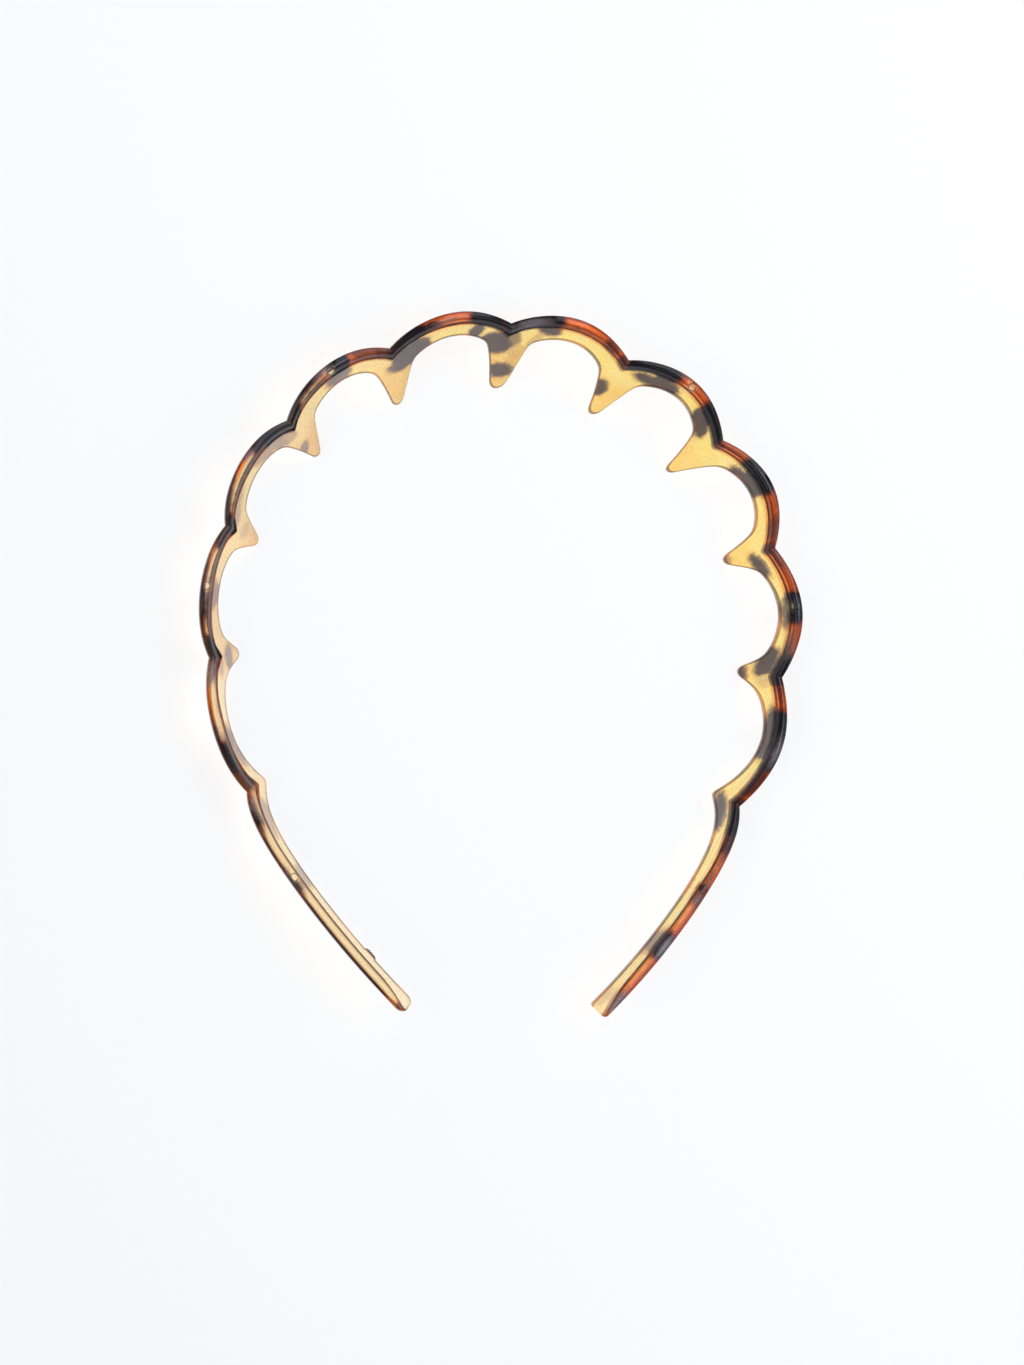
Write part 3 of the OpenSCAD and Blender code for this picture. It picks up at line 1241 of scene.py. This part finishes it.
@dataclass(frozen=True)
class RimStain:
    """Tints of the rim: flame orange and clear stretches with painted light and shade, black
    patches, painted shade lines, painted lilac sheen.
    """

    # The plastic's flame orange, with painted dark bands of shade and bright bands of light across
    # the bead
    flame: Profile = Profile(
        (
            (-0.45, (0.05, 0.01, 0.006)),
            (-0.05, (0.2, 0.03, 0.012)),
            (0.08, (0.5, 0.07, 0.018)),
            (0.2, (0.98, 0.21, 0.032)),
            (0.5, (1.0, 0.28, 0.04)),
            (0.62, (0.9, 0.16, 0.024)),
            (0.7, (0.14, 0.012, 0.006)),
            (0.76, (0.3, 0.03, 0.01)),
            (0.83, (1.0, 0.32, 0.045)),
            (0.89, (0.12, 0.014, 0.006)),
            (0.94, (0.008, 0.004, 0.004)),
            (1.05, (0.012, 0.005, 0.005)),
            (1.12, (0.15, 0.025, 0.008)),
        )
    )
    # Clear stretches: a painted cream streak of light through the bead, with painted shade along
    # its sides
    clear: Profile = Profile(
        (
            (-0.45, (0.02, 0.006, 0.004)),
            (0.17, (0.012, 0.005, 0.004)),
            (0.25, (0.2, 0.02, 0.006)),
            (0.32, (0.7, 0.3, 0.07)),
            (0.39, (0.84, 0.75, 0.5)),
            (0.7, (0.84, 0.76, 0.52)),
            (0.78, (0.88, 0.62, 0.24)),
            (0.83, (0.4, 0.07, 0.015)),
            (0.89, (0.02, 0.005, 0.004)),
            (1.05, (0.02, 0.006, 0.005)),
            (1.13, (0.12, 0.02, 0.006)),
        )
    )
    streaks: Grain = Grain(0.3, 2.2)
    streak_middle: float = 0.5
    streak_sway: float = 0.25
    fixed_foot: Fade = Fade(0.5, 0.66)
    mottle: Grain = Grain(0.45, 0.8)
    mottle_fade: Fade = Fade(0.52, 0.68)
    mottle_most: float = 0.35
    wobble: Grain = Grain(0.8, 1.2)
    wobble_range: Line = Line(0.7, -0.35)
    pale_wobble: float = 0.4
    pale_fade: Fade = Fade(-0.15, 0.25)
    brown: Colour = BROWN
    halo_fade: Fade = Fade(-0.6, 0.1)
    halo_most: float = 0.8
    black: Colour = (0.01, 0.008, 0.01)
    black_fade: Fade = Fade(-0.2, 0.35)
    line_wobble: float = 0.5
    line_fade: Fade = Fade(-0.15, 0.15)
    # Colour of the painted lilac sheen, a reflection, and its fade
    painted_sheen: Colour = (0.2, 0.19, 0.26)
    painted_sheen_fade: Fade = Fade(-0.3, 0.5)
    painted_light: Colour = (0.95, 0.87, 0.58)
    pin_ring_shade: float = 4.0

    def clear_tint(self, g: Graph, wobble: Socket) -> Socket:
        """Tint of the rim where it has no black: flame orange with clear stretches, both with
        painted bands of light and shade across the bead.

        Args:
            g: the material's graph.
            wobble: uneven distance by which the edges of patches shift.

        Returns:
            The tint.
        """
        profile = g.stored("profile")
        loose = g.minus(1.0, self.fixed_foot.read(g, profile))
        streaks = g.minus(self.streaks.read(g), self.streak_middle)
        sway = g.times(streaks, g.times(loose, self.streak_sway))
        tint = self.flame.read(g, g.plus(profile, sway))
        patch = self.mottle_fade.read(g, self.mottle.read(g))
        tint = g.mix(g.times(patch, self.mottle_most), tint, self.brown)
        reach = g.line(wobble, self.pale_wobble, g.stored(Layer.RIM_PALE.reach))
        pale = self.pale_fade.stain(g, reach, Layer.RIM_PALE)
        return g.mix(pale, tint, self.clear.read(g, profile))

    def tint(self, g: Graph) -> Socket:
        """Tint of the rim with its black patches, painted shade lines, painted lilac sheen, and
        pin marks with painted light and a painted shade ring.

        Args:
            g: the material's graph.

        Returns:
            The tint.
        """
        wobble = self.wobble_range.read(g, self.wobble.read(g))
        tint = self.clear_tint(g, wobble)
        reach = g.plus(g.stored(Layer.RIM_DARK.reach), wobble)
        halo = g.times(self.halo_fade.stain(g, reach, Layer.RIM_DARK), self.halo_most)
        tint = g.mix(halo, tint, self.brown)
        tint = g.mix(self.black_fade.stain(g, reach, Layer.RIM_DARK), tint, self.black)
        # Painted shade lines along the front of the bead
        slim = g.line(wobble, self.line_wobble, g.stored(Layer.RIM_LINES.reach))
        tint = g.mix(self.line_fade.stain(g, slim, Layer.RIM_LINES), tint, self.black)
        # Painted reflection: a lilac sheen painted into the rim's colour
        sheen = g.plus(g.stored(Layer.RIM_PAINTED_SHEEN.reach), wobble)
        tint = g.mix(self.painted_sheen_fade.stain(g, sheen, Layer.RIM_PAINTED_SHEEN), tint, self.painted_sheen)
        # Painted light: a cream pool where light comes through each pin mark
        tint = g.mix(g.stored("pin_painted_light"), tint, self.painted_light)
        # Painted shade: a dark ring round the edge of each pin mark
        pin = g.stored("pin")
        ring = g.times(pin, g.minus(1.0, pin))
        return g.mix(g.times(ring, self.pin_ring_shade), tint, self.black)


@dataclass(frozen=True)
class Tortoiseshell:
    """Clear amber plastic with dark pigment: polished on the rim, satin on the web and teeth."""

    web: WebStain = field(default_factory=WebStain)
    rim: RimStain = field(default_factory=RimStain)
    grain: Grain = Grain(2.2, 2.5, 2.0, 0.75)
    web_start: Fade = Fade(0.02, 0.2)
    face_start: Fade = Fade(0.1, 0.35)
    soak: Colour = (0.94, 0.6, 0.02)
    soak_density: float = 200.0
    gloss: Colour = (0.72, 0.74, 0.9)
    see_through: float = 0.92
    bend: float = 1.49
    polish: float = 0.045
    satin: float = 0.4
    frost: Grain = Grain(9.0, 9.0, 2.0, 0.6)
    frost_rough: float = 0.04
    frost_height: Line = Line(0.9, 0.1)
    frost_strength: float = 0.2
    frost_depth: float = 0.00004

    def material(self) -> bpy.types.Material:
        """Build the material.

        Returns:
            The new material.
        """
        g = Graph("tortoiseshell_plastic")
        on_web = self.web_start.read(g, g.stored("past_foot"))
        tint = g.mix(on_web, self.rim.tint(g), self.web.tint(g, self.grain.read(g)))
        satin = g.times(on_web, self.face_start.read(g, g.stored("edge_gap")))
        frost = self.frost.read(g)
        rough = g.line(satin, self.satin - self.polish, self.polish)
        height = g.times(frost, self.frost_height.read(g, satin))
        sockets = {"Height": height, "Strength": self.frost_strength, "Distance": self.frost_depth}
        g.plastic(
            Base_Color=tint,
            Roughness=g.line(frost, self.frost_rough, rough),
            IOR=self.bend,
            Transmission_Weight=self.see_through,
            Specular_Tint=self.gloss,
            Normal=g.named("ShaderNodeBump", "Normal", **sockets),
        )
        g.absorb(self.soak, self.soak_density)
        return g.material


# Mesh of the moulding


@dataclass(frozen=True)
class Ring:
    """Points once round the section at every station, as arrays of stations by points.

    share is the place across the rim, 0 at its outer edge and 1 at its foot on the web.
    """

    u: Array
    rise: Array
    share: Array
    edge_gap: Array
    back: Array


@dataclass
class RingLines:
    """Lines of points along the moulding, gathered in order round the section."""

    stations: int
    u: list[Array] = field(default_factory=list)
    rise: list[float] = field(default_factory=list)
    share: list[float] = field(default_factory=list)
    edge_gap: list[Array] = field(default_factory=list)
    back: list[bool] = field(default_factory=list)

    def add(
        self, u: Array, rise: float, share: float, edge_gap: Array, back: bool = False
    ) -> None:
        """Append one line.

        Args:
            u: distance of its points inside the hoop line.
            rise: their height above the web's front.
            share: place across the rim.
            edge_gap: distance from the inner edge.
            back: whether the line lies on the back.
        """
        self.u.append(u)
        self.rise.append(rise)
        self.share.append(share)
        self.edge_gap.append(edge_gap)
        self.back.append(back)

    def ring(self) -> Ring:
        """Join the lines.

        Returns:
            The ring at every station.
        """
        rows = (self.stations, 1)
        return Ring(
            u=np.stack(self.u, axis=1),
            rise=np.tile(self.rise, rows),
            share=np.tile(self.share, rows),
            edge_gap=np.stack(self.edge_gap, axis=1),
            back=np.tile(self.back, rows),
        )


@dataclass(frozen=True)
class Spans:
    """Places across the moulding at every station, and the width of its softened edge."""

    outer: Array
    width: Array
    inner: Array
    edge: Array

    @property
    def foot(self) -> Array:
        """Foot of the rim on the web."""
        return self.outer + self.width

    @property
    def flat(self) -> Array:
        """Where the softened edge begins."""
        return self.inner - self.edge


@dataclass(frozen=True)
class Section:
    """Cross-section of the moulding: rounded rim, thinner web, softened edges.

    bead gives the rim's front as pairs of a share of its width and a rise above the web's front,
    and wall its outer side as pairs of an inset and a rise, from the back up. The fields that end
    in share or run place a line on the scale of the ring's share, and those that end in gap change
    its distance from the inner edge.
    """

    outline: Outline = field(default_factory=Outline)
    bead: tuple[tuple[float, float], ...] = (
        (0.0, 0.0), (0.008, 0.1), (0.035, 0.19), (0.09, 0.3), (0.16, 0.42), (0.23, 0.54),
        (0.3, 0.655), (0.35, 0.725), (0.4, 0.77), (0.46, 0.795), (0.53, 0.8), (0.59, 0.79),
        (0.64, 0.755), (0.68, 0.695), (0.73, 0.6), (0.79, 0.455), (0.85, 0.31), (0.91, 0.165),
        (0.95, 0.08), (1.0, 0.02),
    )
    wall: tuple[tuple[float, float], ...] = (
        (0.34, -1.24), (0.14, -1.19), (0.03, -1.08), (0.0, -0.9), (0.0, -0.45),
    )
    wall_back: float = -1.1
    wall_share: float = -0.2
    wall_run: float = 0.2
    web_depth: float = 1.5
    web_lines: int = 14
    web_start: float = 0.05
    web_share: float = 1.05
    web_run: float = 0.9
    edge_radius: float = 0.32
    edge_steps: int = 4
    edge_most: float = 0.42
    edge_share: float = 2.0
    step_gap: float = 0.1
    side_gap: float = -0.6
    back_lines: int = 10
    back_run: float = 0.95
    slant_lines: int = 2

    def ring(self, s: Array, stub: GateStub) -> Ring:
        """Points round the section.

        Args:
            s: signed stations.
            stub: stub on the inner edge.

        Returns:
            The ring at every station, from the back of the wall over the front.
        """
        a = np.abs(s)
        outer = self.outline.outer_edge(a)
        width = self.outline.rim_across(a)
        inner = self.outline.inner_edge(a) + stub.bulge(s)
        steep = np.gradient(inner, s)
        softened = self.edge_radius * np.sqrt(1.0 + steep * steep)
        edge = np.minimum(softened, self.edge_most * (inner - (outer + width)))
        spans = Spans(outer, width, inner, edge)
        lines = RingLines(len(s))
        self.lay_rim(lines, spans)
        self.lay_web(lines, spans)
        self.lay_edge(lines, spans)
        self.lay_back(lines, spans)
        return lines.ring()

    def lay_rim(self, lines: RingLines, spans: Spans) -> None:
        """Lay the outer wall and the bead.

        Args:
            lines: the lines so far.
            spans: places across the moulding.
        """
        web = spans.inner - spans.foot
        for inset, rise in self.wall:
            share = self.wall_share + self.wall_run * rise
            lines.add(spans.outer + inset, rise, share, web, rise < self.wall_back)
        for share, rise in self.bead:
            lines.add(spans.outer + share * spans.width, rise, share, web)

    def lay_web(self, lines: RingLines, spans: Spans) -> None:
        """Lay the front of the web and teeth.

        Args:
            lines: the lines so far.
            spans: places across the moulding.
        """
        start = spans.foot + self.web_start * spans.width
        for k in range(self.web_lines):
            part = k / (self.web_lines - 1)
            u = start + (spans.flat - start) * part
            lines.add(u, 0.0, self.web_share + self.web_run * part, spans.inner - u)

    def lay_edge(self, lines: RingLines, spans: Spans) -> None:
        """Lay the softened inner edge, from the front round to the back.

        Args:
            lines: the lines so far.
            spans: places across the moulding.
        """
        turns = [math.pi / 2.0 * k / self.edge_steps for k in range(self.edge_steps + 1)]
        for k, turn in enumerate(turns[1:], start=1):
            u = spans.flat + spans.edge * math.sin(turn)
            rise = -self.edge_radius * (1.0 - math.cos(turn))
            lines.add(u, rise, self.edge_share, (spans.inner - u) - self.step_gap * k)
        side = np.full_like(spans.inner, self.side_gap)
        lines.add(spans.inner, -self.web_depth / 2.0, self.edge_share, side)
        for k, turn in enumerate(turns[:-1]):
            u = spans.flat + spans.edge * math.cos(turn)
            rise = -self.web_depth + self.edge_radius * (1.0 - math.sin(turn))
            gap = (spans.inner - u) - self.step_gap * (self.edge_steps - k)
            lines.add(u, rise, self.edge_share, gap, back=True)

    def lay_back(self, lines: RingLines, spans: Spans) -> None:
        """Lay the back of the web, and the slant up to the back of the wall.

        Args:
            lines: the lines so far.
            spans: places across the moulding.
        """
        for k in range(self.back_lines):
            part = 1.0 - k / (self.back_lines - 1)
            u = spans.foot + (spans.flat - spans.foot) * part
            share = 1.0 + self.back_run * part
            lines.add(u, -self.web_depth, share, spans.inner - u, back=True)
        inset, top = self.wall[0]
        for k in range(1, self.slant_lines + 1):
            part = k / (self.slant_lines + 1)
            u = spans.foot + (spans.outer + inset - spans.foot) * part
            rise = -self.web_depth + (top + self.web_depth) * part
            lines.add(u, rise, 1.0 - part, spans.inner - u, back=True)


@dataclass(frozen=True)
class LegEnd:
    """Rounding at the end of one leg: its length, and the shares left at the very end."""

    side: Side
    length: float
    width_left: float
    height_left: float

    def squeeze(self, s: Array, end: float) -> tuple[Array, Array]:
        """Shares of width and height that are left, 1 away from this end.

        Args:
            s: signed stations.
            end: distance of the leg's end along the hoop line.

        Returns:
            The shares of width and of height.
        """
        own = np.sign(s) == self.side.value
        t = np.clip((np.abs(s) - end + self.length) / self.length, 0.0, 1.0) * own
        round_share = np.sqrt(1.0 - t * t)
        width = self.width_left + (1.0 - self.width_left) * round_share
        height = self.height_left + (1.0 - self.height_left) * round_share
        return width, height


def skin(stations: int, points: int) -> list[tuple[int, ...]]:
    """Faces of a closed tube with a cap at each end.

    Args:
        stations: how many rings it has.
        points: how many points each ring has.

    Returns:
        The faces, as the indices of their corners.
    """
    faces: list[tuple[int, ...]] = []
    for j in range(stations - 1):
        low, high = j * points, (j + 1) * points
        for k in range(points):
            after = (k + 1) % points
            faces.append((low + k, low + after, high + after, high + k))
    faces.append(tuple(range(points - 1, -1, -1)))
    faces.append(tuple(range((stations - 1) * points, stations * points)))
    return faces


@dataclass
class Headband:
    """The whole moulding: its mesh, the marks on it and the places of its mottling."""

    section: Section = field(default_factory=Section)
    resting: Resting = field(default_factory=Resting)
    stub: GateStub = field(default_factory=GateStub)
    pins: tuple[PinMark, ...] = (
        PinMark(39.9, -0.9, painted_light=0.9, painted_light_from=0.1, clear_back=0.6),
        PinMark(91.1, 0.95, painted_light=1.0, painted_light_from=0.5, clear_back=0.15),
        PinMark(154.8, -0.4),
        PinMark(-40.3, -0.9, painted_light=1.0, painted_light_from=0.2, clear_back=0.8),
        PinMark(-91.6, 0.5, painted_light=0.95, painted_light_from=-0.1, clear_back=0.8),
        PinMark(-154.1, -0.3, painted_light=1.0, painted_light_from=-0.4),
    )
    ends: tuple[LegEnd, ...] = (
        LegEnd(Side.LEFT, 1.8, 0.3, 0.45),
        LegEnd(Side.RIGHT, 0.8, 0.72, 0.7),
    )
    end_turns: int = 9
    end_rise: float = -0.45
    foot_shade: FootShade = field(default_factory=FootShade)
    back_profile: float = 0.45
    back_flow: float = 2.0
    pin_clearing: float = 0.5
    stub_shade: float = 0.6
    spacing: float = 0.42
    fine_spacing: float = 0.11
    least_spacing: float = 0.45
    notch_window: float = 0.5
    pin_window: float = 1.1
    finish: Tortoiseshell = field(default_factory=Tortoiseshell)

    def fine_stretch(self, middle: float, window: float) -> Array:
        """Fine stations round one place."""
        steps = int(2.0 * window / self.fine_spacing)
        return np.linspace(middle - window, middle + window, steps)

    def stations(self) -> Array:
        """Stations along the hoop line, closer at notches, pin marks, stub and leg ends.

        Returns:
            The signed stations, in order, with one right at each notch.
        """
        end = self.section.outline.line.end
        notches = [side.value * n.at for n in self.section.outline.notches for side in Side]
        parts = [np.linspace(-end, end, int(2.0 * end / self.spacing)), np.array(notches)]
        parts += [self.fine_stretch(at, self.notch_window) for at in notches]
        parts += [self.fine_stretch(pin.at, self.pin_window) for pin in self.pins]
        parts.append(self.fine_stretch(self.stub.at, self.stub.half_length))
        turns = np.sin(np.linspace(0.0, math.pi / 2.0, self.end_turns))
        for leg_end in self.ends:
            parts.append(leg_end.side.value * (end - leg_end.length + leg_end.length * turns))
        raw = np.unique(np.clip(np.concatenate(parts), -end, end))
        kept = [raw[0]]
        for value in raw[1:-1]:
            if value - kept[-1] > self.fine_spacing * self.least_spacing or value in notches:
                kept.append(value)
        kept.append(raw[-1])
        return np.array(kept)

    def press_pins(self, s: Array, ring: Ring) -> tuple[Array, Array]:
        """Press the pin marks into the front of the rim.

        Args:
            s: signed station of every point.
            ring: the section's points.

        Returns:
            The rise of every point, and a field that is 1 on a mark.
        """
        rise = ring.rise.copy()
        pressed = np.zeros_like(rise)
        on_top = (ring.share >= 0.0) & (ring.share <= 1.0) & ~ring.back
        for pin in self.pins:
            mark = pin.inside(s, ring.u) * on_top
            rise -= pin.depth * mark
            pressed = np.maximum(pressed, mark)
        return rise, pressed

    def round_ends(self, stations: Array, u: Array, rise: Array) -> tuple[Array, Array]:
        """Draw the section in towards its middle at the ends of the legs.

        Args:
            stations: signed stations.
            u: distance of every point inside the hoop line.
            rise: its rise above the web's front.

        Returns:
            The distance and rise that are left.
        """
        outline = self.section.outline
        width = np.ones(len(stations))
        height = np.ones(len(stations))
        for leg_end in self.ends:
            own_width, own_height = leg_end.squeeze(stations, outline.line.end)
            width *= own_width
            height *= own_height
        a = np.abs(stations)
        middle = ((outline.outer_edge(a) + outline.inner_edge(a)) / 2.0)[:, None]
        u = middle + (u - middle) * width[:, None]
        return u, self.end_rise + (rise - self.end_rise) * height[:, None]

    def set_down(self, stations: Array, u: Array, rise: Array) -> Array:
        """Places of the points on the table.

        Args:
            stations: signed stations.
            u: distance of every point inside the hoop line.
            rise: its rise above the web's front.

        Returns:
            One row for each point, in metres.
        """
        outline = self.section.outline
        a = np.broadcast_to(np.abs(stations)[:, None], u.shape)
        plan = outline.line.plan(a, u)
        sign = np.where(stations < 0.0, -1.0, 1.0)[:, None]
        up = outline.height(a, u) + rise
        flat = np.stack([sign * plan[..., 0], plan[..., 1], up], axis=-1)
        return self.resting.place(flat.reshape(-1, 3))

    def build(self) -> bpy.types.Object:
        """Make the mesh and its named fields.

        Returns:
            The new object, in the frame.
        """
        stations = self.stations()
        ring = self.section.ring(stations, self.stub)
        s = np.broadcast_to(stations[:, None], ring.u.shape)
        rise, pressed = self.press_pins(s, ring)
        u, rise = self.round_ends(stations, ring.u, rise)
        placed = self.set_down(stations, u, rise)
        faces = skin(*ring.u.shape)
        mesh = bpy.data.meshes.new(PIECE)
        mesh.from_pydata(placed.tolist(), [], faces)
        mesh.polygons.foreach_set("use_smooth", [True] * len(faces))
        for name, values in self.fields(s, ring, pressed).items():
            attribute = mesh.attributes.new(name, "FLOAT", "POINT")
            attribute.data.foreach_set("value", values.astype(np.float32).ravel())
        flow = np.stack([s, ring.u, ring.back * self.back_flow], axis=-1)
        attribute = mesh.attributes.new("flow", "FLOAT_VECTOR", "POINT")
        attribute.data.foreach_set("vector", flow.astype(np.float32).ravel())
        mesh.validate()
        mesh.update()
        obj = bpy.data.objects.new(PIECE, mesh)
        bpy.context.scene.collection.objects.link(obj)
        return obj

    def fields(self, s: Array, ring: Ring, pressed: Array) -> dict[str, Array]:
        """Fields that the finishes read.

        Args:
            s: signed station of every point.
            ring: the section's points.
            pressed: 1 on a pin mark.

        Returns:
            The value of each field at every point.
        """
        outline = self.section.outline
        station = np.abs(s[:, 0])
        foot = outline.outer_edge(station) + outline.rim_across(station)
        behind = ring.back & (ring.share > 0.0)
        shift = LINE_SHIFT.read(s)
        # The painted shade at the rim's foot pushes the web's start inward
        spread = shift * outline.rim_width - self.foot_shade.read(s)
        edge_shade = EDGE_SHADE.read(s) + self.stub_shade * self.stub.bulge(s)
        # Painted light of the pin marks, in cream
        painted_light = [pin.painted_light_share(s, ring.u, behind, self.pin_clearing) for pin in self.pins]
        fields = {
            "profile": np.where(behind, self.back_profile, ring.share + shift),
            "past_foot": ring.u - foot[:, None] + spread,
            "edge_gap": ring.edge_gap - edge_shade,
            "pin": pressed,
            "pin_painted_light": np.max(painted_light, axis=0),
            "paleness_and_sheen": WEB_PALENESS_AND_SHEEN.read(s),
        }
        rim_across = np.clip(ring.share, 0.0, 1.0) * outline.rim_width
        layers = {
            Layer.WEB_DARK: WEB_DARK.read(s, ring.u),
            Layer.WEB_LINES: WEB_LINES.read(s, ring.u),
            Layer.RIM_DARK: RIM_DARK.read(s, rim_across),
            Layer.RIM_LINES: RIM_LINES.read(s, rim_across),
            Layer.RIM_PALE: RIM_PALE.read(s, rim_across, ~behind),
            Layer.RIM_PAINTED_SHEEN: RIM_PAINTED_SHEEN.read(s, rim_across),
        }
        for layer, (reach, depth) in layers.items():
            hidden = behind & layer.front_only
            fields[layer.reach] = np.where(hidden, NO_BLOTCH, reach)
            fields[layer.depth] = depth
        return fields

    def dress(self, moulding: bpy.types.Object) -> None:
        """Give the moulding its finish and tie it to the frame.

        Args:
            moulding: the object that build made.
        """
        moulding.data.materials.append(self.finish.material())
        moulding.visible_shadow = False
        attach(moulding, BODY)
        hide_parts(NODE)


# Studio


@dataclass(frozen=True)
class PhotoCamera:
    """Camera of the photograph: its turns in degrees and its distance and aim in millimetres.

    They are given in the axes of the flat hoop. pixels_per_mm is the scale of the hoop in the
    photograph.
    """

    yaw: float = 15.392
    pitch: float = -0.793
    roll: float = -1.747
    distance: float = 1217.0
    target_x: float = 2.401
    target_y: float = -9.925
    pixels_per_mm: float = 4.9342
    sensor: float = 36.0
    near: float = 0.05
    far: float = 20.0

    def axes(self, turn: Matrix) -> Matrix:
        """Axes of the camera on the table.

        Args:
            turn: turn from the hoop's plane to the table.

        Returns:
            The axes to its right, upward and back, as columns.
        """
        yaw, pitch, roll = (math.radians(v) for v in (self.yaw, self.pitch, self.roll))
        back = Vector(
            (-math.sin(yaw) * math.cos(pitch), math.sin(pitch), math.cos(yaw) * math.cos(pitch))
        )
        right = Vector((0.0, 1.0, 0.0)).cross(back).normalized()
        up = back.cross(right)
        across = math.cos(roll) * right - math.sin(roll) * up
        upward = math.sin(roll) * right + math.cos(roll) * up
        return Matrix([turn @ across, turn @ upward, turn @ back]).transposed()

    def place(self, resting: Resting) -> bpy.types.Object:
        """Make the camera and set it as the scene's.

        Args:
            resting: how the hoop is set down.

        Returns:
            The camera.
        """
        axes = self.axes(resting.rotation())
        target = Vector(resting.place(np.array([[self.target_x, self.target_y, 0.0]]))[0])
        data = bpy.data.cameras.new("photo_camera")
        data.sensor_width = self.sensor
        focal_pixels = self.pixels_per_mm * self.distance
        data.lens = focal_pixels / PICTURE_LONG_SIDE * self.sensor
        data.clip_start, data.clip_end = self.near, self.far
        camera = bpy.data.objects.new("photo_camera", data)
        bpy.context.scene.collection.objects.link(camera)
        where = target + axes.col[2] * self.distance * MM
        camera.matrix_world = Matrix.Translation(where) @ axes.to_4x4()
        bpy.context.scene.camera = camera
        return camera


@dataclass(frozen=True)
class SoftBox:
    """Large square lamp aimed at the origin: name, place in metres, size, power and tint."""

    name: str
    place: tuple[float, float, float]
    size: float
    power: float
    tint: Colour = (1.0, 1.0, 1.0)

    def hang(self) -> bpy.types.Object:
        """Make the lamp.

        Returns:
            The lamp.
        """
        data = bpy.data.lights.new(self.name, "AREA")
        data.shape = "SQUARE"
        data.size = self.size
        data.energy = self.power
        data.color = self.tint
        lamp = bpy.data.objects.new(self.name, data)
        bpy.context.scene.collection.objects.link(lamp)
        lamp.location = self.place
        lamp.rotation_mode = "QUATERNION"
        lamp.rotation_quaternion = Vector(self.place).to_track_quat("Z", "Y")
        lamp.visible_camera = False
        return lamp


@dataclass(frozen=True)
class Studio:
    """Plain pale table, pale surroundings and soft lamps."""

    camera: PhotoCamera = field(default_factory=PhotoCamera)
    lamps: tuple[SoftBox, ...] = (
        SoftBox("overhead_softbox", (0.42, 0.13, 1.54), 1.25, 18.3, (0.97, 0.985, 1.0)),
        SoftBox("back_softbox", (0.75, 1.7, 1.35), 1.9, 19.0, COOL_WHITE),
        SoftBox("right_softbox", (1.8, -0.1, 1.2), 1.8, 7.0, COOL_WHITE),
        SoftBox("left_softbox", (-1.4, -0.5, 1.5), 1.4, 6.0),
    )
    table_size: float = 8.0
    table_tone: float = 0.9
    table_roughness: float = 0.9
    sky: Colour = COOL_WHITE
    sky_strength: float = 0.2

    def lay_table(self) -> bpy.types.Object:
        """Make the table and give it to the stage.

        Returns:
            The table.
        """
        half = self.table_size / 2.0
        mesh = bpy.data.meshes.new("table")
        corners = [(-half, -half, 0.0), (half, -half, 0.0), (half, half, 0.0), (-half, half, 0.0)]
        mesh.from_pydata(corners, [], [(0, 1, 2, 3)])
        table = bpy.data.objects.new("table", mesh)
        bpy.context.scene.collection.objects.link(table)
        g = Graph("pale_table")
        g.plastic(Base_Color=(self.table_tone,) * 3, Roughness=self.table_roughness)
        mesh.materials.append(g.material)
        return table

    def surround(self) -> None:
        """Make the pale surroundings."""
        world = bpy.data.worlds.new("pale_surroundings")
        world.use_nodes = True
        background = world.node_tree.nodes["Background"]
        background.inputs["Color"].default_value = (*self.sky, 1.0)
        background.inputs["Strength"].default_value = self.sky_strength
        bpy.context.scene.world = world
        bpy.context.scene.view_settings.view_transform = "Standard"

    def build(self, resting: Resting) -> None:
        """Make the camera, the table, the lamps and the surroundings.

        Args:
            resting: how the hoop is set down.
        """
        self.camera.place(resting)
        self.lay_table()
        for lamp in self.lamps:
            lamp.hang()
        self.surround()


def main() -> None:
    """Build the studio and the moulding, and report them."""
    logging.basicConfig(level=logging.INFO, format="%(name)s: %(message)s")
    headband = Headband()
    Studio().build(headband.resting)
    moulding = headband.build()
    headband.dress(moulding)
    log.info("%s: %d faces", moulding.name, len(moulding.data.polygons))


if __name__ == "__main__":
    main()
